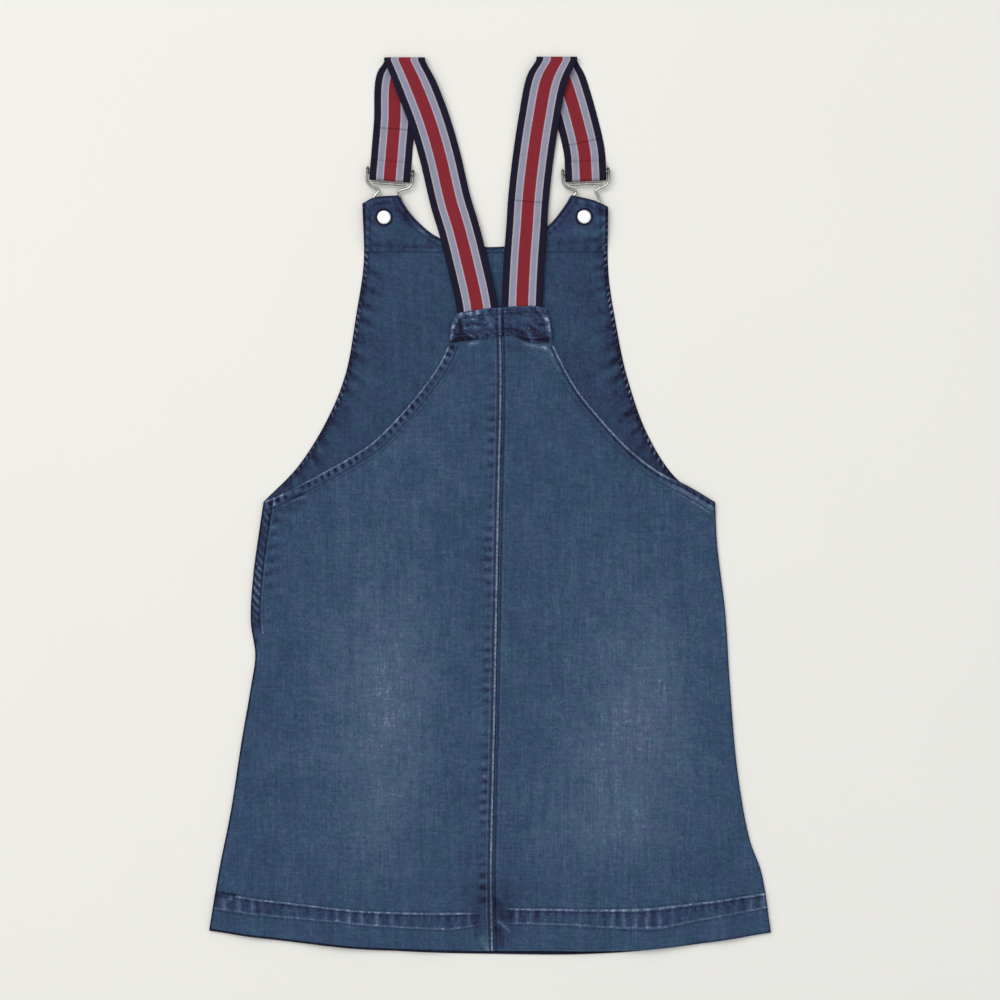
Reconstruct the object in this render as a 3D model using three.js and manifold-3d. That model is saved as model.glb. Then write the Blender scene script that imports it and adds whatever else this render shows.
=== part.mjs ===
// A child's denim pinafore dress, laid flat with its back side up.
// Millimetres. +X is the wearer's right as it lies, +Y runs from the hem to the straps,
// +Z is up from the surface.
// The origin is under the middle of the dress, on the surface that it lies on.
import * as THREE from 'three';
import Module from 'manifold-3d';
import { mergeVertices } from 'three/addons/utils/BufferGeometryUtils.js';

const wasm = await Module();
wasm.setup();

// Cloth
const CLOTH = 1.2;
const FACING = 1;
const FACING_FOOT_Y = 197.5;
const FACING_INSET = 1.5;
const FACING_NARROW = 0.02;
const GAP = 0.3;
const SEAM_RISE = 0.9;
const EDGE_RISE = 0.5;
const FELL_WIDTH = 9;
const BIB_HEM = 5;
const STEP = 1.5;

// Ways in which the front is moved out by the gap where the facing is cut by it.
const ROUND_ABOUT = [
  { x: 0, y: 0 },
  { x: 1, y: 0 },
  { x: -1, y: 0 },
  { x: 0, y: 1 },
  { x: 0, y: -1 },
];

// Depth of the turned hem of each half, at the centre back and at the side seam
const HEM_DEPTH = {
  left: { centre: 29.5, side: 29.5 },
  right: { centre: 33, side: 30.5 },
};

// Heights up the dress between which a form comes in or dies out
const BIB_HEM_STARTS = { from: 28, to: 55 };
const BIB_HEM_ENDS = { from: FACING_FOOT_Y - 32, to: FACING_FOOT_Y - 20 };
const SIDE_STRIP_STARTS = { from: -100, to: -92 };
const FOLDS_END = { from: 60, to: 110 };
const SEAMS_END = { from: 108, to: 116 };

// Distances from the edges of the back within which its folds settle
const SETTLED_AT_SIDE = { from: 0, to: 26 };
const SETTLED_AT_ARMHOLE = { from: 2, to: 30 };
const FOLD_HEAD = { from: 0.35, to: 1.1 };

// Woven tape of the straps
const TAPE_WIDTH = 32;
const TAPE = 1.3;
const FOLD_RADIUS = 2.2;

// Buckles and buttons
const WIRE_RADIUS = 1;
const EYE_RADIUS = 2 * WIRE_RADIUS + GAP;
const BAR_HEIGHT = 3.35;
const HEAD_RADIUS = 8.5;
const HEAD_HEIGHT = 2.7;
const SHANK_RADIUS = 2;
const TACK_RADIUS = 5.4;
const TACK_HEIGHT = 1.2;
const HORN_LIFT = 5.3;
const HORN_FLAT = 12;
const HORN_FADE = 34;
const HORN_ABOVE = 0.35;
const HOOK_HEIGHT = 3.95;
const FRONT_INSET = 0.5;
const BUTTONS = { left: { x: -82.4, y: 223.9 }, right: { x: 73.3, y: 224.3 } };

const DENIM = { color: 0x3c546e, roughness: 0.92, metalness: 0 };
const DENIM_INSIDE = { color: 0x30445f, roughness: 0.94, metalness: 0 };
const WOVEN_TAPE = { color: 0x3a3a55, roughness: 0.8, metalness: 0 };
const NICKEL = { color: 0xc8c8c4, roughness: 0.25, metalness: 1 };

// Outlines of the cut pieces. A row with a value for "at" is a corner or an end of its edge,
// and "at" is the share of the edge that lies before it.
const HEM_OF_BACK = [
  { x: -219, y: -331.5, at: 0 },
  { x: -189, y: -336 },
  { x: -143, y: -341.5 },
  { x: -99, y: -346 },
  { x: -62, y: -347.5 },
  { x: 3, y: -347.5, at: 0.5 },
  { x: 60, y: -347.5 },
  { x: 97, y: -347.5 },
  { x: 126, y: -346 },
  { x: 172, y: -340.5 },
  { x: 219, y: -333, at: 1 },
];
const HEM_OF_FRONT = [
  { x: -218.5, y: -331, at: 0 },
  { x: -143, y: -341 },
  { x: -62, y: -347.5 },
  { x: 5, y: -349.2 },
  { x: 70, y: -349.5 },
  { x: 126, y: -346 },
  { x: 218.5, y: -332.5, at: 1 },
];
const LEFT_SIDE = [
  { x: -219, y: -331.5, at: 0 },
  { x: -211.5, y: -286 },
  { x: -202, y: -238 },
  { x: -193.5, y: -183 },
  { x: -186.3, y: -141 },
  { x: -183, y: -117 },
  { x: -186.5, y: -90 },
  { x: -184.5, y: -54 },
  { x: -180.5, y: -24 },
  { x: -176.5, y: 3, at: 1 },
];
const RIGHT_SIDE = [
  { x: 219, y: -333, at: 0 },
  { x: 211.5, y: -286 },
  { x: 202.5, y: -261 },
  { x: 193, y: -208 },
  { x: 187, y: -140 },
  { x: 183.5, y: -85 },
  { x: 177, y: -30 },
  { x: 175.5, y: 2.5, at: 1 },
];
const LEFT_ARMHOLE = [
  { x: -176.5, y: 3, at: 0 },
  { x: -166, y: 7 },
  { x: -139.5, y: 20.5 },
  { x: -105, y: 40 },
  { x: -90.5, y: 50 },
  { x: -60, y: 82 },
  { x: -39, y: 111 },
  { x: -32, y: 126, at: 0.9 },
  { x: -29, y: 147, at: 0.95 },
];
const RIGHT_ARMHOLE = [
  { x: 175.5, y: 2.5, at: 0 },
  { x: 154.5, y: 15 },
  { x: 131.5, y: 26.5 },
  { x: 110, y: 43 },
  { x: 87.5, y: 66.5 },
  { x: 70, y: 88 },
  { x: 58.5, y: 107 },
  { x: 49, y: 126.5, at: 0.9 },
  { x: 44.5, y: 147, at: 0.95 },
];
const CENTRE_BACK = [
  { x: 3, y: -347.5, at: 0 },
  { x: 2, y: -289 },
  { x: 4.5, y: -164 },
  { x: 7.5, y: 0 },
  { x: 9.5, y: 97 },
  { x: 8.5, y: 148, at: 1 },
];
const BIB_LEFT = [
  { x: -176.5, y: 3, at: 0.58 },
  { x: -150.5, y: 29.5 },
  { x: -128.5, y: 64 },
  { x: -113, y: 101.5 },
  { x: -104.5, y: 148 },
  { x: -98.5, y: 190 },
  { x: -99.4, y: 235, at: 1 },
];
const BIB_RIGHT = [
  { x: 175.5, y: 2.5, at: 0.58 },
  { x: 147, y: 19.5 },
  { x: 124, y: 53 },
  { x: 107, y: 100 },
  { x: 98.5, y: 140 },
  { x: 92.5, y: 180 },
  { x: 92, y: 232.5, at: 1 },
];
const BIB_TOP = [
  { x: -99.4, y: 235, at: 0 },
  { x: -90, y: 239.7 },
  { x: -71, y: 241.3, at: 0.15 },
  { x: -67, y: 234 },
  { x: -56, y: 221 },
  { x: -40.5, y: 209 },
  { x: -20, y: 203 },
  { x: 5, y: 201.5 },
  { x: 24, y: 204.5 },
  { x: 46, y: 218.5 },
  { x: 61.5, y: 238 },
  { x: 63.2, y: 241.5, at: 0.85 },
  { x: 80.5, y: 237.5 },
  { x: 92, y: 232.5, at: 1 },
];
const TAB = {
  climb: { from: 0, to: 3.5 },
  rim: { from: 0, to: 2 },
  rimEnds: { from: 130, to: 137 },
  edgeDrop: 0.7,
  bottom: [
    { x: -31.5, y: 126.5, at: 0 },
    { x: -8, y: 129.5 },
    { x: 17, y: 132 },
    { x: 30, y: 127 },
    { x: 48.5, y: 127, at: 1 },
  ],
  top: [
    { x: -26, y: 149.5, at: 0 },
    { x: -8, y: 152.6 },
    { x: 7, y: 154 },
    { x: 38, y: 155 },
    { x: 43.5, y: 153, at: 1 },
  ],
  left: [
    { x: -31.5, y: 126.5, at: 0 },
    { x: -29.5, y: 142 },
    { x: -26, y: 149.5, at: 1 },
  ],
  right: [
    { x: 48.5, y: 127, at: 0 },
    { x: 47, y: 142 },
    { x: 43.5, y: 153, at: 1 },
  ],
};

// Soft folds that the back keeps as it lies, each a low ridge from its foot to its head.
const BACK_FOLDS = [
  { footX: -120, footY: -350, headX: -96, headY: -40, width: 44, rise: 2.6 },
  { footX: -188, footY: -345, headX: -166, headY: -190, width: 24, rise: 2.2 },
  { footX: -48, footY: -350, headX: -36, headY: -170, width: 26, rise: 1.6 },
  { footX: 70, footY: -350, headX: 62, headY: -150, width: 34, rise: 2 },
  { footX: 128, footY: -345, headX: 104, headY: -60, width: 40, rise: 2.8 },
  { footX: 186, footY: -340, headX: 160, headY: -150, width: 24, rise: 2 },
  { footX: -140, footY: -70, headX: -60, headY: 40, width: 26, rise: 1.4 },
  { footX: 128, footY: -60, headX: 66, headY: 50, width: 26, rise: 1.3 },
];

// Straps: the middle line of each run of tape, from the tab up to the fold,
// and from the fold down to the bar.
const STRAPS = {
  left: {
    upper: [
      { x: -9.6, y: 139, z: 3.65 },
      { x: -9.9, y: 153, z: 3.65 },
      { x: -19, y: 195, z: 4 },
      { x: -25, y: 218, z: 4.5 },
      { x: -30.5, y: 236, z: 3.4 },
      { x: -39.5, y: 274, z: 2.5 },
      { x: -48, y: 302, z: 3.6 },
      { x: -59, y: 330, z: 4.9 },
    ],
    fold: { x: -66.5, y: 346.2 },
    lower: [
      { x: -73.2, y: 331, z: 0.68 },
      { x: -74.5, y: 300, z: 0.68 },
      { x: -76.5, y: 275, z: 0.75 },
    ],
    end: { x: -78, y: 255 },
  },
  right: {
    upper: [
      { x: 25, y: 138, z: 3.65 },
      { x: 25, y: 155, z: 3.65 },
      { x: 26.8, y: 193, z: 4 },
      { x: 28.6, y: 217, z: 4.6 },
      { x: 30, y: 238, z: 3.4 },
      { x: 33, y: 266, z: 2.5 },
      { x: 38, y: 300, z: 3.6 },
      { x: 44.5, y: 332, z: 4.9 },
    ],
    fold: { x: 52, y: 346.7 },
    lower: [
      { x: 59, y: 330, z: 0.68 },
      { x: 68, y: 300, z: 0.68 },
      { x: 73.6, y: 275, z: 0.75 },
    ],
    end: { x: 74.6, y: 255 },
  },
};

// Half of a hook's wire from its eye down to the slot, measured from the middle of the bar.
const HOOK_HALF = [
  { x: 17.8, y: -3, z: 5.5 },
  { x: 17.7, y: -7.5, z: 5 },
  { x: 15.4, y: -11, z: 4.6 },
  { x: 10, y: -13.2, z: 4.3 },
  { x: 7.6, y: -15, z: 4.1 },
  { x: 9.8, y: -19, z: 4 },
  { x: 11, y: -24, z: 4 },
  { x: 7, y: -30, z: 4 },
];

const EYE_DEGREES = [-115, -75, -35, 5, 45, 85];
const SLOT_DEGREES = [0, 35, 70];
const CROSS_BAR = { half: 12.8, y: -9.2, z: 4.7 };
const BAR_END = 1.3;
const BAR_OFFSET = 4.4;
const TURNED_END = [
  { along: 0, drop: 0 },
  { along: 5.8, drop: 0 },
  { along: 10, drop: 2.1 },
  { along: 13, drop: 2.6 },
];

// Sections of the tape: where a run is level at the fold, as shares of it, and how many sections it has
const LEVEL_AT_HEAD = { from: 0.82, to: 1 };
const LEVEL_AT_START = { from: 0, to: 0.28 };
const TAPE_STEPS = { up: 18, turn: 8, down: 16, end: 7 };

// Sides of what is round
const HOOK_STEPS = 72;
const WIRE_CURVE = 4;
const WIRE_SIDES = 10;
const HOLE_SIDES = 16;
const BUTTON_SIDES = 20;

// Lines of each piece's grid, as shares across and along it. Two close ones make the step of a seam.
const GRIDS = {
  front: {
    across: [0, 0.022, 0.03, ...spread([0.06, 0.15, 0.5, 0.85, 0.94], 21), 0.97, 0.978, 1],
    along: [0, ...spread([0.03, 0.58, 0.975], 34), 0.983, 0.9915, 1],
  },
  facing: {
    across: [0, 0.03, ...spread([0.06, 0.15, 0.5, 0.85, 0.94], 24), 0.97, 1],
    along: [0, 0.35, 0.7, 0.86, 1],
  },
  back: {
    across: [0, 0.036, 0.043, ...spread([0.1, 0.9], 15), 0.953, 0.96, 1],
    along: [0, 0.07, 0.075, ...spread([0.14, 0.93], 18), 0.968, 0.978, 1],
  },
  tab: {
    across: [0, ...spread([0.045, 0.955], 12), 1],
    along: [0, 0.17, 0.4, 0.7, 0.9, 1],
  },
};

const dress = new THREE.Group();

// A soft step of a value, from 0 to 1 over a range.
function ramp({ from, to }, value) {
  return THREE.MathUtils.smoothstep(value, from, to);
}

// 1 within a width of an edge and 0 beyond the step that follows it.
function band(width, distance) {
  return 1 - ramp({ from: width, to: width + STEP }, distance);
}

function gridOf(lines, plan) {
  return lines.across.map((u) => lines.along.map((v) => plan(u, v)));
}

function add(name, geometry, finish) {
  const mesh = new THREE.Mesh(geometry, new THREE.MeshStandardMaterial(finish));
  mesh.name = name;
  dress.add(mesh);
}

// An edge of a piece as a function of its share t: smooth between corners, and even along each stretch.
function edge(rows) {
  const stretches = [];
  let start = 0;
  for (let i = 1; i < rows.length; i += 1) {
    if (rows[i].at === undefined) continue;
    const points = rows.slice(start, i + 1).map(({ x, y }) => new THREE.Vector3(x, y, 0));
    const curve = points.length > 2 ? new THREE.CatmullRomCurve3(points, false, 'centripetal')
      : new THREE.LineCurve3(...points);
    stretches.push({ from: rows[start].at, to: rows[i].at, curve });
    start = i;
  }
  return (t) => {
    const s = stretches.find((one) => t <= one.to + 1e-9) ?? stretches.at(-1);
    return s.curve.getPointAt(THREE.MathUtils.clamp((t - s.from) / (s.to - s.from), 0, 1));
  };
}

// A flat piece between four edges: u runs from left to right and v from bottom to top.
function patch(bottom, top, left, right) {
  const corner = [bottom(0), bottom(1), top(0), top(1)];
  return (u, v) => {
    const across = left(v).lerp(right(v), u);
    const upward = bottom(u).lerp(top(u), v);
    const low = corner[0].clone().lerp(corner[1], u);
    const high = corner[2].clone().lerp(corner[3], u);
    return across.add(upward).sub(low.lerp(high, v));
  };
}

// Values from 0 to 1 that keep each stop, with about `count` steps in all.
function spread(stops, count) {
  const values = [stops[0]];
  for (let i = 1; i < stops.length; i += 1) {
    const steps = Math.max(1, Math.round((stops[i] - stops[i - 1]) * count));
    for (let k = 1; k <= steps; k += 1) values.push(THREE.MathUtils.lerp(stops[i - 1], stops[i], k / steps));
  }
  return values;
}

// A closed wall over a grid of points, with its own height under and over each point.
function wall(grid, under, over) {
  const columns = grid.length;
  const rows = grid[0].length;
  const positions = [];
  const index = [];
  for (const height of [under, over]) {
    for (const column of grid) {
      for (const { x, y } of column) positions.push(x, y, height(x, y));
    }
  }
  const at = (i, j, side) => side * columns * rows + i * rows + j;
  const quad = (a, b, c, d) => index.push(a, b, c, a, c, d);
  for (let i = 0; i + 1 < columns; i += 1) {
    for (let j = 0; j + 1 < rows; j += 1) {
      quad(at(i, j, 1), at(i + 1, j, 1), at(i + 1, j + 1, 1), at(i, j + 1, 1));
      quad(at(i, j, 0), at(i, j + 1, 0), at(i + 1, j + 1, 0), at(i + 1, j, 0));
    }
    quad(at(i, 0, 0), at(i + 1, 0, 0), at(i + 1, 0, 1), at(i, 0, 1));
    quad(at(i + 1, rows - 1, 0), at(i, rows - 1, 0), at(i, rows - 1, 1), at(i + 1, rows - 1, 1));
  }
  for (let j = 0; j + 1 < rows; j += 1) {
    quad(at(0, j + 1, 0), at(0, j, 0), at(0, j, 1), at(0, j + 1, 1));
    quad(at(columns - 1, j, 0), at(columns - 1, j + 1, 0), at(columns - 1, j + 1, 1), at(columns - 1, j, 1));
  }
  const geometry = new THREE.BufferGeometry();
  geometry.setAttribute('position', new THREE.Float32BufferAttribute(positions, 3));
  geometry.setIndex(index);
  return geometry;
}

function toSolid(geometry) {
  const bare = geometry.clone();
  for (const name of ['normal', 'uv']) bare.deleteAttribute(name);
  const merged = mergeVertices(bare, 1e-4);
  return new wasm.Manifold(new wasm.Mesh({
    numProp: 3,
    vertProperties: new Float32Array(merged.attributes.position.array),
    triVerts: new Uint32Array(merged.index.array),
  }));
}

function toGeometry(solid) {
  const mesh = solid.getMesh();
  const geometry = new THREE.BufferGeometry();
  geometry.setAttribute('position', new THREE.Float32BufferAttribute(mesh.vertProperties, 3));
  geometry.setIndex([...mesh.triVerts]);
  return geometry;
}

// The largest body of a cut, without the chips beside it.
function largest(solid) {
  return solid.decompose().sort((a, b) => b.volume() - a.volume())[0];
}

// Shortest distance in plan from a point to an edge of a piece.
function reach(curve, samples = 60) {
  const points = Array.from({ length: samples + 1 }, (_, i) => curve(i / samples));
  const line = new THREE.Line3();
  const nearest = new THREE.Vector3();
  const place = new THREE.Vector3();
  return (x, y) => {
    place.set(x, y, 0);
    let least = Infinity;
    for (let i = 0; i < samples; i += 1) {
      line.set(points[i], points[i + 1]).closestPointToPoint(place, true, nearest);
      least = Math.min(least, nearest.distanceTo(place));
    }
    return least;
  };
}

// Front: bib and skirt in one cut. It lies on the surface, and its horns rise over the heads of the buttons.
function hornLift(x, y) {
  const lifts = Object.values(BUTTONS).map((button) => {
    const rise = y - button.y;
    const away = Math.hypot(x - button.x, rise > 0 ? rise * HORN_ABOVE : rise);
    return HORN_LIFT * (1 - ramp({ from: HORN_FLAT, to: HORN_FADE }, away));
  });
  return Math.max(...lifts);
}

function withButtonHoles(solid, height) {
  for (const { x, y } of Object.values(BUTTONS)) {
    const hole = new THREE.CylinderGeometry(SHANK_RADIUS + GAP, SHANK_RADIUS + GAP, 4 * CLOTH, HOLE_SIDES);
    hole.rotateX(Math.PI / 2).translate(x, y, height);
    solid = solid.subtract(toSolid(hole));
  }
  return solid;
}

function makeFront() {
  const left = edge([...LEFT_SIDE.slice(0, -1), ...BIB_LEFT]);
  const right = edge([...RIGHT_SIDE.slice(0, -1), ...BIB_RIGHT]);
  const top = edge(BIB_TOP);
  const inset = (curve, dx) => (t) => curve(t).add(new THREE.Vector3(dx * (1 - t), 0, 0));
  const plan = patch(edge(HEM_OF_FRONT), top, inset(left, FRONT_INSET), inset(right, -FRONT_INSET));
  const cloth = wall(gridOf(GRIDS.front, plan), hornLift, overFront);
  const solid = withButtonHoles(toSolid(cloth), HORN_LIFT + CLOTH / 2);
  add('front_panel', toGeometry(solid), DENIM_INSIDE);
  return solid;
}

const BIB_EDGES = [BIB_TOP, shareOf(BIB_LEFT), shareOf(BIB_RIGHT)].map((rows) => reach(edge(rows)));

// Height of the inside of the front, with the turned edges of the bib.
function overFront(x, y) {
  const near = Math.min(...BIB_EDGES.map((distance) => distance(x, y)));
  const turnedEdge = ramp(BIB_HEM_STARTS, y) * (1 - ramp(BIB_HEM_ENDS, y));
  return hornLift(x, y) + CLOTH + EDGE_RISE * turnedEdge * band(BIB_HEM, near);
}

// Facing: it lies inside the bib from its top edge down to a level line.
function makeFacing(front) {
  const top = edge(BIB_TOP);
  const narrow = (point) => point.setX(point.x * (1 - FACING_NARROW));
  const upper = (t) => narrow(top(t)).sub(new THREE.Vector3(0, FACING_INSET, 0));
  const lower = (t) => new THREE.Vector3(upper(t).x, FACING_FOOT_Y, 0);
  const side = (t, v) => lower(t).lerp(upper(t), v);
  const plan = patch(lower, upper, (v) => side(0, v), (v) => side(1, v));
  const inFront = (x, y) => hornLift(x, y) + CLOTH / 2;
  const onFront = (x, y) => hornLift(x, y) + CLOTH + GAP + FACING;
  let solid = toSolid(wall(gridOf(GRIDS.facing, plan), inFront, onFront));
  for (const { x, y } of ROUND_ABOUT) {
    solid = solid.subtract(front.translate([x * GAP, y * GAP, GAP]));
  }
  const fitted = largest(solid);
  add('bib_facing', toGeometry(withButtonHoles(fitted, HORN_LIFT + 2 * CLOTH)), DENIM_INSIDE);
}

// The rows of an edge with their shares stretched to run from 0 to 1.
function shareOf(rows) {
  const { at: first } = rows[0];
  const { at: last } = rows.at(-1);
  return rows.map((row) => (row.at === undefined ? row : { ...row, at: (row.at - first) / (last - first) }));
}

// Height of the soft folds of the back, which die out towards the side seams, the armholes and the tab.
function foldHeight(x, y) {
  let height = 0;
  for (const { footX, footY, headX, headY, width, rise } of BACK_FOLDS) {
    const along = new THREE.Vector2(headX - footX, headY - footY);
    const place = new THREE.Vector2(x - footX, y - footY);
    const t = place.dot(along) / along.lengthSq();
    const aside = Math.abs(place.cross(along)) / along.length();
    height += rise * (1 - ramp(FOLD_HEAD, t)) * (1 - ramp({ from: 0, to: width }, aside));
  }
  return height;
}

// Back: two panels that meet at the felled centre back seam, with turned hem and armhole.
function makeBack(side, outline, armhole) {
  const isLeft = side === 'left';
  const hem = edge(HEM_OF_BACK);
  const half = isLeft ? (t) => hem(t / 2) : (t) => hem(1 - t / 2);
  const middle = edge(CENTRE_BACK);
  const apart = isLeft ? -GAP / 2 : GAP / 2;
  const seam = (t) => middle(t).add(new THREE.Vector3(apart, 0, 0));
  const end = { x: seam(1).x, y: seam(1).y, at: 1 };
  const top = edge([...armhole, end]);
  const outer = edge(outline);
  const hemToSeam = (t) => half(t).add(new THREE.Vector3(apart * t, 0, 0));
  const plan = isLeft ? patch(hemToSeam, top, outer, seam)
    : patch((t) => hemToSeam(1 - t), (t) => top(1 - t), seam, outer);
  const { across, along } = GRIDS.back;
  const lines = { across: isLeft ? across : across.map((u) => 1 - u).reverse(), along };
  const toSide = reach(outer);
  const toTop = reach(edge(shareOf(armhole.slice(0, -1))));
  const toHem = reach(half);
  const toSeam = reach(seam);
  const under = (x, y) => {
    const free = ramp(SETTLED_AT_SIDE, toSide(x, y)) * ramp(SETTLED_AT_ARMHOLE, toTop(x, y));
    return CLOTH + GAP + foldHeight(x, y) * free * (1 - ramp(FOLDS_END, y));
  };
  const { centre, side: atSide } = HEM_DEPTH[side];
  const hemDepth = (x) => THREE.MathUtils.mapLinear(x, half(1).x, half(0).x, centre, atSide);
  const over = (x, y) => {
    const plain = 1 - ramp(SEAMS_END, y);
    const ridges = [band(hemDepth(x), toHem(x, y)), band(FELL_WIDTH, toTop(x, y)) * plain];
    if (isLeft) {
      ridges.push(band(FELL_WIDTH, toSeam(x, y)) * plain);
      ridges.push(band(FELL_WIDTH - 1, toSide(x, y)) * ramp(SIDE_STRIP_STARTS, y));
    }
    return under(x, y) + CLOTH + SEAM_RISE * Math.max(...ridges);
  };
  add(`back_${side}`, wall(gridOf(lines, plan), under, over), DENIM);
}

// Tab: it covers the ends of both straps at the top of the back.
function makeTab() {
  const [bottom, top, left, right] = [TAB.bottom, TAB.top, TAB.left, TAB.right].map(edge);
  const plan = patch(bottom, top, left, right);
  const onPanels = 2 * (CLOTH + GAP);
  const onStraps = onPanels + TAPE + GAP;
  const toBottom = reach(bottom);
  const toSides = [reach(left), reach(right)];
  const under = (x, y) => {
    const level = THREE.MathUtils.lerp(onPanels, onStraps, ramp(TAB.climb, toBottom(x, y)));
    const aside = Math.min(...toSides.map((distance) => distance(x, y)));
    const drop = TAB.edgeDrop * (1 - ramp(TAB.rim, aside)) * (1 - ramp(TAB.rimEnds, y));
    return Math.max(onPanels, level - drop);
  };
  add('back_tab', wall(gridOf(GRIDS.tab, plan), under, (x, y) => under(x, y) + CLOTH), DENIM);
}

// Strap: a flat tape along its middle line. Each section keeps the tape's width level.
function loft(sections, width, thickness) {
  const positions = [];
  const index = [];
  for (const { centre, across, tangent } of sections) {
    const normal = across.clone().cross(tangent).normalize();
    for (const [a, n] of [[-1, -1], [1, -1], [1, 1], [-1, 1]]) {
      const point = centre.clone().addScaledVector(across, (a * width) / 2);
      point.addScaledVector(normal, (n * thickness) / 2);
      positions.push(point.x, point.y, point.z);
    }
  }
  for (let i = 0; i + 1 < sections.length; i += 1) {
    for (let k = 0; k < 4; k += 1) {
      const [a, b] = [4 * i + k, 4 * i + ((k + 1) % 4)];
      index.push(a, b + 4, b, a, a + 4, b + 4);
    }
  }
  const last = 4 * (sections.length - 1);
  index.push(0, 1, 2, 0, 2, 3, last, last + 2, last + 1, last, last + 3, last + 2);
  const geometry = new THREE.BufferGeometry();
  geometry.setAttribute('position', new THREE.Float32BufferAttribute(positions, 3));
  geometry.setIndex(index);
  return geometry;
}

// A stretch of tape along a smooth line: direction is 1, or -1 where the tape lies face down.
function run(rows, steps, direction) {
  const points = rows.map(({ x, y, z }) => new THREE.Vector3(x, y, z));
  const curve = new THREE.CatmullRomCurve3(points, false, 'centripetal');
  return Array.from({ length: steps + 1 }, (_, i) => {
    const tangent = curve.getTangentAt(i / steps);
    const across = new THREE.Vector3(tangent.y, -tangent.x, 0).normalize().multiplyScalar(direction);
    return { centre: curve.getPointAt(i / steps), across, tangent };
  });
}

// A half turn of the tape round a level line, which lies square to the heading.
function turn(centre, radius, heading, startAngle, endAngle, steps) {
  const up = new THREE.Vector3(0, 0, 1);
  return Array.from({ length: steps - 1 }, (_, i) => {
    const angle = THREE.MathUtils.lerp(startAngle, endAngle, (i + 1) / steps);
    const [sine, cosine] = [Math.sin(angle), Math.cos(angle)];
    const point = centre.clone().addScaledVector(heading, radius * sine).addScaledVector(up, radius * cosine);
    const tangent = heading.clone().multiplyScalar(cosine).addScaledVector(up, -sine);
    return { centre: point, across: new THREE.Vector3(heading.y, -heading.x, 0), tangent };
  });
}

function makeStrap(name, { upper, fold, lower, end }) {
  const low = TAPE / 2;
  const high = low + 2 * FOLD_RADIUS;
  const barTurn = WIRE_RADIUS + GAP + TAPE / 2;
  const atEnd = { ...end, z: BAR_HEIGHT - barTurn };
  const level = new THREE.Vector3(1, 0, 0);
  const settle = (sections, share) => sections.forEach(({ across }, i) => {
    across.lerp(level, share(i / (sections.length - 1))).normalize();
  });
  const up = run([...upper, { ...fold, z: high }], TAPE_STEPS.up, 1);
  settle(up, (t) => ramp(LEVEL_AT_HEAD, t));
  const down = run([{ ...fold, z: low }, ...lower, atEnd], TAPE_STEPS.down, -1);
  settle(down, (t) => 1 - ramp(LEVEL_AT_START, t));
  const foldCentre = new THREE.Vector3(fold.x, fold.y, low + FOLD_RADIUS);
  const top = turn(foldCentre, FOLD_RADIUS, new THREE.Vector3(0, 1, 0), 0, Math.PI, TAPE_STEPS.turn);
  const { across } = down.at(-1);
  const heading = new THREE.Vector3(-across.y, across.x, 0);
  const endCentre = new THREE.Vector3(end.x, end.y, BAR_HEIGHT);
  const bottom = turn(endCentre, barTurn, heading, Math.PI, 2 * Math.PI, TAPE_STEPS.turn);
  const endRows = TURNED_END.map(({ along, drop }) => {
    const { x, y } = endCentre.clone().addScaledVector(heading, along);
    return { x, y, z: BAR_HEIGHT + barTurn - drop };
  });
  const sections = [...up, ...top, ...down, ...bottom, ...run(endRows, TAPE_STEPS.end, 1)];
  add(name, loft(sections, TAPE_WIDTH, TAPE), WOVEN_TAPE);
  return heading;
}

// Buckle: a bar in the turn of the tape, a hook of round wire whose eyes hold it,
// and a cross bar between its shoulders.
function rod(name, from, to) {
  const length = from.distanceTo(to);
  const geometry = new THREE.CylinderGeometry(WIRE_RADIUS, WIRE_RADIUS, length, WIRE_SIDES);
  const direction = to.clone().sub(from).normalize();
  geometry.applyQuaternion(new THREE.Quaternion().setFromUnitVectors(new THREE.Vector3(0, 1, 0), direction));
  geometry.translate(...from.clone().lerp(to, 0.5).toArray());
  add(name, geometry, NICKEL);
}

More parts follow.
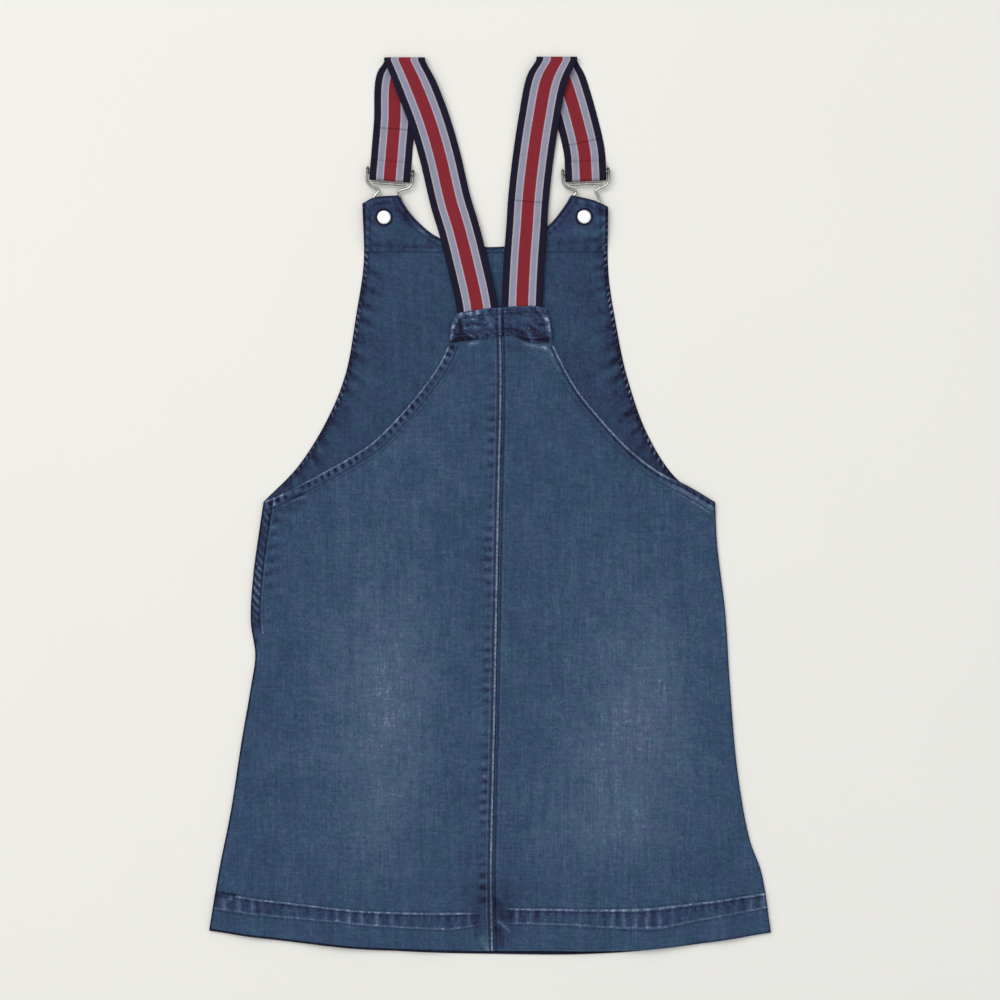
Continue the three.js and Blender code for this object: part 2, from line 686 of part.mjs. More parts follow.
function makeBuckle(side, heading) {
  const { end } = STRAPS[side];
  const bar = new THREE.Vector3(end.x, end.y, 0).addScaledVector(heading, BAR_OFFSET);
  const across = new THREE.Vector3(heading.y, -heading.x, 0);
  const place = (x, y, z) => {
    const level = new THREE.Vector3(bar.x, bar.y, z);
    return level.addScaledVector(across, x).addScaledVector(heading, y);
  };
  const eyeX = HOOK_HALF[0].x;
  rod(`bar_${side}`, place(-eyeX - BAR_END, 0, BAR_HEIGHT), place(eyeX + BAR_END, 0, BAR_HEIGHT));
  const { half: crossHalf, y: crossY, z: crossZ } = CROSS_BAR;
  rod(`slide_${side}`, place(-crossHalf, crossY, crossZ), place(crossHalf, crossY, crossZ));
  const half = EYE_DEGREES.map((degrees) => {
    const angle = THREE.MathUtils.degToRad(degrees);
    return { x: eyeX, y: EYE_RADIUS * Math.cos(angle), z: BAR_HEIGHT + EYE_RADIUS * Math.sin(angle) };
  });
  const toButton = new THREE.Vector3(BUTTONS[side].x - bar.x, BUTTONS[side].y - bar.y, 0);
  const shift = toButton.dot(across);
  const drop = toButton.dot(heading);
  half.push(...HOOK_HALF);
  const slot = SHANK_RADIUS + GAP + WIRE_RADIUS;
  for (const degrees of SLOT_DEGREES) {
    const angle = THREE.MathUtils.degToRad(degrees);
    half.push({ x: slot * Math.cos(angle), y: drop - slot * Math.sin(angle), z: HOOK_HEIGHT });
  }
  const lean = (y) => shift * ramp({ from: -CROSS_BAR.y, to: -drop }, -y);
  const onSide = (sign) => half.map(({ x, y, z }) => place(sign * x + lean(y), y, z));
  const path = new THREE.CatmullRomCurve3([...onSide(-1), ...onSide(1).reverse()], false, 'centripetal');
  const section = new THREE.Shape();
  section.absarc(0, 0, WIRE_RADIUS, 0, 2 * Math.PI);
  const hook = new THREE.ExtrudeGeometry(section, {
    steps: HOOK_STEPS,
    curveSegments: WIRE_CURVE,
    bevelEnabled: false,
    extrudePath: path,
  });
  add(`hook_${side}`, hook, NICKEL);
}

// Button: a head on the outer face, its shank through the bib, and the back of its rivet on the inside.
function turned(name, profile, x, y) {
  const points = profile.map(({ radius, z }) => new THREE.Vector2(radius, z));
  const geometry = new THREE.LatheGeometry(points, BUTTON_SIDES);
  geometry.rotateX(Math.PI / 2).translate(x, y, 0);
  add(name, geometry, NICKEL);
}

function makeButton(side) {
  const { x, y } = BUTTONS[side];
  const shankTop = HORN_LIFT + CLOTH + GAP + FACING;
  const tackFoot = shankTop + GAP;
  turned(`button_${side}`, [
    { radius: 0, z: 0 },
    { radius: HEAD_RADIUS - 1.2, z: 0 },
    { radius: HEAD_RADIUS, z: 1 },
    { radius: HEAD_RADIUS - 0.4, z: HEAD_HEIGHT - 0.5 },
    { radius: SHANK_RADIUS, z: HEAD_HEIGHT },
    { radius: SHANK_RADIUS, z: shankTop },
    { radius: 0, z: shankTop },
  ], x, y);
  turned(`tack_${side}`, [
    { radius: 0, z: tackFoot },
    { radius: TACK_RADIUS, z: tackFoot },
    { radius: TACK_RADIUS - 0.2, z: tackFoot + 0.7 * TACK_HEIGHT },
    { radius: TACK_RADIUS - 1, z: tackFoot + TACK_HEIGHT },
    { radius: 0, z: tackFoot + TACK_HEIGHT },
  ], x, y);
}

makeFacing(makeFront());
makeBack('left', LEFT_SIDE, LEFT_ARMHOLE);
makeBack('right', RIGHT_SIDE, RIGHT_ARMHOLE);
makeTab();
for (const side of ['left', 'right']) {
  const heading = makeStrap(`strap_${side}`, STRAPS[side]);
  makeBuckle(side, heading);
  makeButton(side);
}

export default dress;
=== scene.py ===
"""Looks of a child's denim pinafore dress that lies flat with its back side up.

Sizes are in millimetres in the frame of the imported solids, and become metres where a mesh is made.
"""

import logging
import math
from collections.abc import Callable, Sequence
from dataclasses import dataclass, field
from enum import Enum

import bpy
import numpy as np
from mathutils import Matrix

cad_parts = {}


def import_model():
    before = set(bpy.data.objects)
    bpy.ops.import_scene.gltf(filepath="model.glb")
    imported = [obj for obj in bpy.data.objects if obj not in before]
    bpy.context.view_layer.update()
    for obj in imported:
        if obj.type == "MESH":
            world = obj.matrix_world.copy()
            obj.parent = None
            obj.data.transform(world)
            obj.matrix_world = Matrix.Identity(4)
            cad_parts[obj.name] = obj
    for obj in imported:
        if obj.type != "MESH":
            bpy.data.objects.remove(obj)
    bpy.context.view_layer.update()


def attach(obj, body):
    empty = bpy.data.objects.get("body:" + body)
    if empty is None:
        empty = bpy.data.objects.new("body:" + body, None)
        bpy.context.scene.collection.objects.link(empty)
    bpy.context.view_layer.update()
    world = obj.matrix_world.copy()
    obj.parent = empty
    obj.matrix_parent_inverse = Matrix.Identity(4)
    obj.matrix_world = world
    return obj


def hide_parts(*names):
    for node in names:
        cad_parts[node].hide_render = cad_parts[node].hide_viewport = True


LOG = logging.getLogger("pinafore")
MM = 0.001
BODY = "root"

Row = tuple[float, ...]
Number = float | np.ndarray
Colour = tuple[float, float, float]
Stop = tuple[float, Colour]
Settings = dict[str, object]
Values = dict[str | int, object]

# Noise is scaled so that it runs from about -1 to 1
NOISE_SPREAD = 3.2


class Slot(Enum):
    """Material slots of the record."""

    DENIM = "denim"
    INSIDE = "denim_inside"
    TAPE = "tape"
    NICKEL = "nickel"


class Side(Enum):
    """The two halves of the dress as it lies, seen from above."""

    LEFT = "left"
    RIGHT = "right"


# Cloth and seams
WALL = 1.2
GAP = 0.3
SEAM_RISE = 0.9
EDGE_RISE = 0.5
FELL_WIDTH = 9.0
BIB_HEM = 5.0
SEAM_STEP = 1.5
FACING = 1.0
FACING_FOOT = 197.5
FACING_INSET = 1.5
FACING_NARROW = 0.02
EDGE_LINES = (0.12, 0.35, 0.7, 1.2, 2.0)
FIRST_LINE = 1.7 * EDGE_LINES[-1]
EDGE_ROLL = (0.22, 0.78)

# Turned hem of each half: its depth at the centre back and at the side, and its lower line across X
HEM_DEPTHS = {Side.LEFT: (29.5, 29.5), Side.RIGHT: (33.0, 30.5)}
HEM_LINE_X = (-219, -163, -117, -30, 3, 60, 133, 160, 215)
HEM_LINE_Y = (17.8, 18.4, 20.0, 17.5, 22.0, 21.0, 16.3, 18.5, 20.0)
HEM_BAND = 12.0

# Where folds and seams start and end: along Y, in from an edge, or by share of a fold's length
FOLDS_END = (60, 110)
FOLD_HEAD = (0.35, 1.1)
SETTLED_AT_SIDE = (0, 26)
SETTLED_AT_ARMHOLE = (2, 30)
BACK_SEAMS_END = (108, 116)
STRIP_STARTS = (-100, -92)
STRIP_ENDS = (-8, 0)
BIB_HEM_STARTS = (28, 55)
BIB_HEM_ENDS = (FACING_FOOT - 32, FACING_FOOT - 20)
BIB_FREE = (5, 30)
BIB_SHARE = 0.58
NO_SEAM = 60

# Rows of thread, in from their seams or edges, and what is left out at the ends of a row
BIB_ROW = BIB_HEM - 1.4
HEM_ROW = 1.9
ARMHOLE_ROW = 7.4
FELL_ROW = 2.9
INNER_FELL_ROW = 4.8
ROW_ENDS = (2, 36)

# Tape, wire and buttons
TAPE_WIDTH = 32.0
TAPE = 1.3
FOLD_RADIUS = 2.2
WIRE_RADIUS = 1.0
EYE_RADIUS = 2 * WIRE_RADIUS + GAP
BAR_HEIGHT = 3.35
WIRE_UNDERSIDE = (0.15, 0.75)
# How far the underside of a wire is darkened as painted shade
UNDERSIDE_SHADE = 0.8
TIP_SHARE = 0.97
SHANK_RADIUS = 2.0
HEAD_RADIUS = 8.5
HEAD_HEIGHT = 2.7
TACK_RADIUS = 5.4
TACK_HEIGHT = 1.2
HORN_LIFT = 5.3
HORN_FLAT = 12.0
HORN_FADE = 34.0
HORN_ABOVE = 0.35
BUTTONS = {Side.LEFT: (-82.4, 223.9), Side.RIGHT: (73.3, 224.3)}

# Outlines of the cut pieces: x, y and, at a corner or an end, the share of the edge before it
HEM_OF_BACK = (
    (-219, -331.5, 0), (-189, -336), (-143, -341.5), (-99, -346), (-62, -347.5), (3, -347.5, 0.5),
    (60, -347.5), (97, -347.5), (126, -346), (172, -340.5), (219, -333, 1),
)
HEM_OF_FRONT = (
    (-218.5, -331, 0), (-143, -341), (-62, -347.5), (5, -349.2), (70, -349.5), (126, -346),
    (218.5, -332.5, 1),
)
SIDES = {
    Side.LEFT: (
        (-219, -331.5, 0), (-211.5, -286), (-202, -238), (-193.5, -183), (-186.3, -141),
        (-183, -117), (-186.5, -90), (-184.5, -54), (-180.5, -24), (-176.5, 3, 1),
    ),
    Side.RIGHT: (
        (219, -333, 0), (211.5, -286), (202.5, -261), (193, -208), (187, -140), (183.5, -85),
        (177, -30), (175.5, 2.5, 1),
    ),
}
ARMHOLES = {
    Side.LEFT: (
        (-176.5, 3, 0), (-166, 7), (-139.5, 20.5), (-105, 40), (-90.5, 50), (-60, 82), (-39, 111),
        (-32, 126, 0.9), (-29, 147, 0.95),
    ),
    Side.RIGHT: (
        (175.5, 2.5, 0), (154.5, 15), (131.5, 26.5), (110, 43), (87.5, 66.5), (70, 88), (58.5, 107),
        (49, 126.5, 0.9), (44.5, 147, 0.95),
    ),
}
CENTRE_BACK = ((3, -347.5, 0), (2, -289), (4.5, -164), (7.5, 0), (9.5, 97), (8.5, 148, 1))
BIB_SIDES = {
    Side.LEFT: (
        (-176.5, 3, BIB_SHARE), (-150.5, 29.5), (-128.5, 64), (-113, 101.5), (-104.5, 148), (-98.5, 190),
        (-99.4, 235, 1),
    ),
    Side.RIGHT: (
        (175.5, 2.5, BIB_SHARE), (147, 19.5), (124, 53), (107, 100), (98.5, 140), (92.5, 180),
        (92, 232.5, 1),
    ),
}
BIB_TOP = (
    (-99.4, 235, 0), (-90, 239.7), (-71, 241.3, 0.15), (-67, 234), (-56, 221), (-40.5, 209),
    (-20, 203), (5, 201.5), (24, 204.5), (46, 218.5), (61.5, 238), (63.2, 241.5, 0.85),
    (80.5, 237.5), (92, 232.5, 1),
)
TAB_BOTTOM = ((-31.5, 126.5, 0), (-8, 129.5), (17, 132), (30, 127), (48.5, 127, 1))
TAB_TOP = ((-26, 149.5, 0), (-8, 152.6), (7, 154), (38, 155), (43.5, 153, 1))
TAB_SIDES = {
    Side.LEFT: ((-31.5, 126.5, 0), (-29.5, 142), (-26, 149.5, 1)),
    Side.RIGHT: ((48.5, 127, 0), (47, 142), (43.5, 153, 1)),
}


@dataclass(frozen=True)
class Fold:
    """A soft ridge that the cloth keeps, from its foot to its head."""

    foot: tuple[float, float]
    head: tuple[float, float]
    width: float
    rise: float


BACK_FOLDS = (
    Fold((-120, -350), (-96, -40), 44, 2.6),
    Fold((-188, -345), (-166, -190), 24, 2.2),
    Fold((-48, -350), (-36, -170), 26, 1.6),
    Fold((70, -350), (62, -150), 34, 2.0),
    Fold((128, -345), (104, -60), 40, 2.8),
    Fold((186, -340), (160, -150), 24, 2.0),
    Fold((-140, -70), (-60, 40), 26, 1.4),
    Fold((128, -60), (66, 50), 26, 1.3),
)


@dataclass(frozen=True)
class Fade:
    """A soft patch where the indigo has washed lighter."""

    x: float
    y: float
    across: float
    along: float
    amount: float


BACK_FADES = (
    Fade(-78, -140, 30, 62, 0.12),
    Fade(-90, -150, 64, 140, 0.12),
    Fade(-86, -238, 30, 45, 0.07),
    Fade(118, -160, 36, 70, 0.11),
    Fade(106, -160, 70, 140, 0.11),
    Fade(86, -240, 46, 45, 0.11),
    Fade(-60, 40, 40, 60, 0.03),
    Fade(-16, -302, 14, 14, -0.06),
    Fade(22, -302, 24, 9, -0.05),
    Fade(92, -305, 26, 9, -0.04),
    Fade(13, -318, 9, 20, -0.17),
    Fade(-5, -312, 9, 20, -0.19),
    Fade(-130, -318, 90, 14, -0.02),
)


@dataclass(frozen=True)
class Crease:
    """A short ridge, or a trough where its rise is below 0: ridges have worn light, and troughs are darker,
    partly as painted shade.
    """

    start: tuple[float, float]
    end: tuple[float, float]
    half: float
    rise: float
    tone: float


BACK_CREASES = {
    Side.LEFT: (
        Crease((-171, -1), (-158, 4.5), 1.1, 0.2, 0.12),
        Crease((-160, 9.5), (-141, 17), 1.3, -0.2, -0.3),
        Crease((-163, 2), (-146, 8.6), 1.3, -0.2, -0.38),
        Crease((-173, 1.2), (-164, 5), 1.5, -0.2, -0.16),
        Crease((-172, -3), (-173.5, -16), 1.6, -0.1, -0.14),
        Crease((-166, -7), (-147, -8.6), 1.0, 0.2, 0.09),
        Crease((-176.4, -38), (-172.4, -52), 1.1, 0.2, 0.1),
        Crease((-162, 7), (-148, 12.5), 1.1, 0.2, 0.26),
        Crease((-156, 0.5), (-145, 2), 1.3, -0.1, -0.16),
        Crease((-187, -103), (-181, -107), 1.6, -0.3, -0.28),
        Crease((-215, -302.6), (-199, -304), 1.3, -0.1, -0.6),
        Crease((-203, -306), (-201.2, -306.4), 1.2, 0.1, 0.75),
        Crease((-164, 2), (-143, 7), 1.0, 0.2, 0.26),
        Crease((-168, -3), (-150, -3.5), 2.2, -0.2, -0.14),
        Crease((-167, -13), (-154, -17), 2.4, -0.2, -0.12),
        Crease((-6, -338), (-2, -345), 3.2, 0.1, 0.2),
        Crease((-11, -319), (-9, -334), 3.5, -0.2, -0.12),
        Crease((-16, 125.4), (-9, 127), 1.1, 0.2, 0.42),
        Crease((-31, 124), (-26, 122), 1.0, -0.2, -0.25),
    ),
    Side.RIGHT: (
        Crease((6.5, -324), (15, -331.5), 0.9, 0.3, 0.46),
        Crease((6, -310), (10, -321), 3.4, -0.2, -0.2),
        Crease((6.5, -330), (8.5, -342), 2.6, -0.1, -0.24),
        Crease((27, 125.6), (43, 122.6), 1.1, 0.2, 0.34),
        Crease((43, 122.6), (49, 117.5), 1.0, 0.2, 0.2),
        Crease((14, 124), (24, 122), 3.0, -0.1, -0.1),
        Crease((134, 21), (170, -3), 3.4, 0.1, 0.16),
    ),
}
# Troughs along the tab's lower edge carry painted shade where the tab steps down to the panels
TAB_CREASES = (
    Crease((-31.5, 127), (-28.6, 139), 1.6, 0.2, 0.22),
    Crease((-30.5, 127.6), (-22, 128.2), 1.3, -0.2, -0.34),
    Crease((-16, 129.4), (-9, 130.4), 0.9, -0.2, -0.26),
    Crease((22, 131), (30, 128.4), 1.1, -0.2, -0.28),
    Crease((38, 128.6), (46.5, 129.4), 1.3, -0.2, -0.3),
    Crease((-18, 148.2), (-11, 147.6), 1.2, 0.2, 0.12),
    Crease((-4, 147), (1, 141), 1.6, 0.2, 0.1),
    Crease((-12, 141.5), (-3, 140.6), 1.3, -0.2, -0.12),
    Crease((14, 143.5), (22, 145.5), 2.2, 0.2, 0.07),
    Crease((27, 147), (33, 144), 1.6, 0.2, 0.1),
    Crease((33, 141), (40, 135), 1.2, 0.2, 0.1),
    Crease((18, 139), (27, 137.4), 1.2, 0.2, 0.07),
    Crease((-28.6, 139), (-24, 147.5), 1.5, 0.2, 0.22),
    Crease((-24, 147.8), (-6, 151.5), 1.1, 0.2, 0.17),
    Crease((-20.5, 144.6), (-10.5, 145.2), 1.0, 0.2, 0.15),
    Crease((-20.5, 137.6), (-7.8, 138.4), 1.2, 0.2, 0.13),
    Crease((-23.4, 143.1), (-22.4, 135.3), 1.3, -0.3, -0.26),
    Crease((-15, 131.4), (-8, 130.8), 1.2, 0.3, 0.22),
    Crease((-24.5, 131.4), (-15.6, 129.4), 2.6, -0.2, -0.18),
    Crease((5.2, 153), (5.6, 133), 0.7, -0.1, -0.16),
    Crease((7.4, 153.5), (7.9, 133), 0.7, 0.15, 0.26),
    Crease((9.8, 153), (10, 130), 1.0, -0.2, -0.3),
    Crease((11, 149.4), (24, 149.1), 0.9, -0.1, -0.1),
    Crease((38, 153), (43.6, 145), 1.4, 0.2, 0.13),
    Crease((43.6, 145), (47.4, 129), 1.5, 0.2, 0.2),
    Crease((35, 152.5), (39, 147), 1.2, -0.2, -0.16),
    Crease((38, 141), (43, 140.6), 0.9, -0.2, -0.2),
    Crease((31.2, 138), (44.5, 130), 3.0, -0.1, -0.15),
    Crease((29.7, 134), (32, 130), 1.3, 0.3, 0.2),
    Crease((14, 137), (24, 134), 3.5, -0.1, -0.12),
    Crease((12, 130.5), (46, 128), 0.8, -0.1, -0.2),
)
FRONT_CREASES = (
    Crease((-69, 212), (-58, 210.5), 1.6, 0.2, 0.07),
    Crease((-72, 237), (-66, 228), 3.4, -0.2, -0.12),
    Crease((-80, 237), (-88, 233), 2.6, -0.2, -0.09),
    Crease((-63, 221), (-52, 213), 1.2, 0.2, 0.10),
    Crease((-92, 214), (-80, 209), 2.4, 0.2, 0.05),
    Crease((-66, 223), (-60, 218), 2.4, -0.2, -0.08),
    Crease((62, 236), (56, 226), 3.0, -0.2, -0.10),
    Crease((83, 236), (88, 228), 2.6, -0.2, -0.10),
    Crease((66, 214), (84, 211), 2.6, 0.2, 0.05),
    Crease((84, 222), (88, 212), 1.6, 0.2, 0.08),
    Crease((-50, 199), (-41, 198.6), 1.1, 0.2, 0.12),
    Crease((44, 204.6), (50, 204), 1.0, 0.2, 0.14),
    Crease((38, 212.5), (58, 210), 1.6, 0.2, 0.06),
    Crease((80, 128), (92, 136), 3.0, 0.3, 0.07),
    Crease((84, 96), (99, 106), 3.0, 0.3, 0.08),
    Crease((90, 74), (104, 84), 3.0, 0.3, 0.07),
    Crease((95, 52), (112, 62), 3.0, 0.3, 0.06),
    Crease((-100, 100), (-86, 94), 3.0, 0.3, 0.04),
    Crease((-106, 70), (-92, 62), 3.0, 0.3, 0.04),
)


def smooth(low: float, high: float, value: Number) -> Number:
    """A soft step.

    Args:
        low: Where the step starts.
        high: Where it ends.
        value: The values to place on it.

    Returns:
        0 before the step and 1 after it.
    """
    share = np.clip((value - low) / (high - low), 0, 1)
    return share * share * (3 - 2 * share)


def pucker(along: np.ndarray, pitch: float, phase: float) -> np.ndarray:
    """Waves of a seam that has shrunk along its thread, uneven in length and height.

    Args:
        along: Places along the seam.
        pitch: The usual distance between two waves.
        phase: A number that makes one seam unlike another.

    Returns:
        The height of the waves, from about -1 to 1.
    """
    wander = 0.9 * np.sin(along / (2.3 * pitch) + phase) + 0.6 * np.sin(along / (0.9 * pitch) + 2.1 * phase)
    size = 0.68 + 0.32 * np.sin(along / (1.7 * pitch) + 3.7 * phase)
    return size * np.sin(2 * math.pi * along / pitch + wander)


@dataclass(frozen=True)
class Pucker:
    """Cloth that its stitching has drawn up: a band of waves beside a seam, which die out beyond it."""

    near: float
    far: float
    pitch: float
    phase: float
    rise: float
    light: float = 0.16
    dark: float = 0.18
    slant: float = 0.0
    beyond: float = 9.0
    run_on: float = 0.35
    crisp: float = 0.25

    def draw(self, distance: np.ndarray, along: np.ndarray) -> tuple[np.ndarray, np.ndarray, np.ndarray]:
        """Draw the cloth up.

        Args:
            distance: Distance to the seam.
            along: Place along the seam.

        Returns:
            The height of the waves, how much lighter or darker they are, and 1 on their band.
        """
        wave = pucker(along + self.slant * distance, self.pitch, self.phase)
        inner = smooth(self.near - 0.8, self.near + 0.8, distance)
        outer = smooth(self.far - 0.8, self.far + 0.8, distance)
        last = smooth(self.far + 0.2 * self.beyond, self.far + self.beyond, distance)
        share = inner * (1 - outer) + self.run_on * outer * (1 - last)
        # Crests lighter as rubbed wear; troughs darker, partly as painted shade in the folds
        tone = self.light * smooth(self.crisp, self.crisp + 0.5, wave) - self.dark * smooth(0.0, 0.7, -wave)
        return self.rise * wave * share, tone * share, inner * (1 - outer)


def spline(points: np.ndarray, steps: int = 48) -> np.ndarray:
    """A smooth centripetal line through points.

    Args:
        points: The points, in two or three dimensions.
        steps: Steps between two of them.

    Returns:
        The points of the line.
    """
    ends = (2 * points[0] - points[1], 2 * points[-1] - points[-2])
    knots = np.vstack([ends[0], points, ends[1]])
    t = np.linspace(0, 1, steps, endpoint=False)[:, None]
    pieces = []
    for a, b, c, d in zip(knots, knots[1:], knots[2:], knots[3:]):
        before, here, after = (math.sqrt(np.linalg.norm(q - p)) for p, q in ((a, b), (b, c), (c, d)))
        start = here * ((b - a) / before - (c - a) / (before + here) + (c - b) / here)
        stop = here * ((c - b) / here - (d - b) / (here + after) + (d - c) / after)
        square = 3 * (c - b) - 2 * start - stop
        cube = 2 * (b - c) + start + stop
        pieces.append(b + start * t + square * t**2 + cube * t**3)
    return np.vstack([*pieces, points[-1]])


def travelled(line: np.ndarray) -> np.ndarray:
    """How far along a line each of its points is."""
    return np.concatenate([[0], np.cumsum(np.linalg.norm(np.diff(line, axis=0), axis=1))])


def evenly(line: np.ndarray, places: np.ndarray) -> np.ndarray:
    """Points of a line at given distances along it."""
    far = travelled(line)
    return np.stack([np.interp(places, far, column) for column in line.T], -1)


def beside(line: np.ndarray, distance: Number) -> np.ndarray:
    """A line beside another in plan, to its left where the distance is above 0.

    Args:
        line: The points of the other line.
        distance: How far apart they are, as one number or one for each point.

    Returns:
        The points of the line.
    """
    heading = np.gradient(line, axis=0)
    heading /= np.linalg.norm(heading, axis=1, keepdims=True)
    return line + np.reshape(distance, (-1, 1)) * np.stack([-heading[:, 1], heading[:, 0]], -1)


def shortened(line: np.ndarray, start: float, end: float) -> np.ndarray:
    """A line without a length at its start and one at its end."""
    total = travelled(line)[-1]
    return evenly(line, np.linspace(start, total - end, len(line)))


class Edge:
    """One edge of a cut piece: smooth between its corners, and even along each stretch."""

    def __init__(self, rows: Sequence[Row]) -> None:
        """Lay out the edge.

        Args:
            rows: Its points, with a share of the edge at each corner and end.
        """
        shares = []
        points = []
        start = 0
        for i in range(1, len(rows)):
            if len(rows[i]) < 3:
                continue
            line = spline(np.array([row[:2] for row in rows[start : i + 1]], float))
            far = travelled(line)
            shares.append(rows[start][2] + far / far[-1] * (rows[i][2] - rows[start][2]))
            points.append(line)
            start = i
        self.shares = np.concatenate(shares)
        self.points = np.vstack(points)

    def __call__(self, share: Number) -> np.ndarray:
        """Points of the edge at shares of it."""
        return np.stack([np.interp(share, self.shares, column) for column in self.points.T], -1)

    def line(self, count: int = 90) -> np.ndarray:
        """The edge as a line of points from its first share to its last."""
        return self(np.linspace(self.shares[0], self.shares[-1], count))


def patch(
    bottom: np.ndarray,
    top: np.ndarray,
    left: np.ndarray,
    right: np.ndarray,
    columns: np.ndarray,
    rows: np.ndarray,
) -> np.ndarray:
    """A flat piece between four lines of points.

    Args:
        bottom: The lower edge from left to right.
        top: The upper edge from left to right.
        left: The left edge from bottom to top.
        right: The right edge from bottom to top.
        columns: The share of the way across at each point of the lower and the upper edge.
        rows: The share of the way up at each point of the left and the right edge.

    Returns:
        Its points, by column and row.
    """
    u = columns[:, None, None]
    v = rows[None, :, None]
    across = left[None] * (1 - u) + right[None] * u
    upward = bottom[:, None] * (1 - v) + top[:, None] * v
    low = bottom[0] * (1 - u) + bottom[-1] * u
    high = top[0] * (1 - u) + top[-1] * u
    return across + upward - (low * (1 - v) + high * v)


def shares(count: int, length: float) -> np.ndarray:
    """Shares of a grid's lines from 0 to 1, closer together along both edges.

    Args:
        count: Lines between the edges.
        length: How long the grid is that way.

    Returns:
        The shares.
    """
    fine = np.array(EDGE_LINES) / length
    first = FIRST_LINE / length
    inner = np.linspace(first, 1 - first, count)
    return np.concatenate([[0], fine, inner, 1 - fine[::-1], [1]])


def reach(line: np.ndarray, x: np.ndarray, y: np.ndarray) -> tuple[np.ndarray, np.ndarray]:
    """Distance in plan from points to a line.

    Args:
        line: The points of the line.
        x: Where the points are along X.
        y: Where they are along Y.

    Returns:
        The distances, and how far along the line each is nearest.
    """
    place = np.stack([np.ravel(x), np.ravel(y)], -1)
    least = np.full(len(place), np.inf)
    along = np.zeros(len(place))
    before = 0.0
    for a, b in zip(line, line[1:]):
        step = b - a
        length = float(np.hypot(*step))
        share = np.clip(((place - a) @ step) / length**2, 0, 1)
        gap = np.hypot(*(place - a - share[:, None] * step).T)
        nearer = gap < least
        least[nearer] = gap[nearer]
        along[nearer] = before + share[nearer] * length
        before += length
    return least.reshape(np.shape(x)), along.reshape(np.shape(x))


def creased(rows: Sequence[Crease], x: np.ndarray, y: np.ndarray) -> tuple[np.ndarray, np.ndarray]:
    """Height of the creases and how much lighter they are.

    Args:
        rows: The creases.
        x: Where the points are along X.
        y: Where they are along Y.

    Returns:
        The height and the change of tone at each point.
    """
    relief = np.zeros(np.shape(x))
    tone = np.zeros(np.shape(x))
    for row in rows:
        away, _ = reach(np.array([row.start, row.end], float), x, y)
        share = np.exp(-((away / row.half) ** 2))
        relief += row.rise * share
        # Ridges lighten as wear; troughs darken, partly as painted shade
        tone += row.tone * share
    return relief, tone


def horn_lift(x: np.ndarray, y: np.ndarray) -> np.ndarray:
    """How far the horns of the bib are lifted by the heads of the buttons.

    Args:
        x: Where the points are along X.
        y: Where they are along Y.

    Returns:
        The lift at each point.
    """
    lift = np.zeros(np.shape(x))
    for button_x, button_y in BUTTONS.values():
        rise = y - button_y
        away = np.hypot(x - button_x, np.where(rise > 0, rise * HORN_ABOVE, rise))
        lift = np.maximum(lift, HORN_LIFT * (1 - smooth(HORN_FLAT, HORN_FADE, away)))
    return lift


@dataclass
class Relief:
    """Heights under and over a piece of cloth, and what its finish reads at each point."""

    under: np.ndarray
    over: np.ndarray
    marks: dict[str, np.ndarray] = field(default_factory=dict)

    def rounded(self, edge: np.ndarray, radius: float = 1.2) -> "Relief":
        """The same relief with its upper side rolled over at the edge.

        Args:
            edge: Distance to the edge.
            radius: How far in the roll starts.

        Returns:
            The rolled relief.
        """
        share = np.clip(edge / radius, 0, 1)
        flat, round_part = EDGE_ROLL
        roll = flat + round_part * np.sqrt(np.clip(1 - (1 - share) ** 2, 0, 1))
        return Relief(self.under, self.under + (self.over - self.under) * roll, self.marks)


Surface = Callable[[np.ndarray, np.ndarray], Relief]


def add_mesh(
    name: str, points: np.ndarray, faces: list[list[int]], marks: dict[str, np.ndarray] | None = None
) -> bpy.types.Object:
    """Make a mesh object.

    Args:
        name: The piece's name.
        points: Its points in millimetres.
        faces: Its faces.
        marks: Numbers at each point that its finish reads.

    Returns:
        The object.
    """
    mesh = bpy.data.meshes.new(name)
    mesh.from_pydata((points * MM).tolist(), [], faces)
    mesh.polygons.foreach_set("use_smooth", np.ones(len(mesh.polygons), bool))
    for mark, values in (marks or {}).items():
        layer = mesh.attributes.new(mark, "FLOAT", "POINT")
        layer.data.foreach_set("value", np.asarray(values, np.float32).ravel())
    mesh.update()
    piece = bpy.data.objects.new(name, mesh)
    bpy.context.scene.collection.objects.link(piece)
    return piece


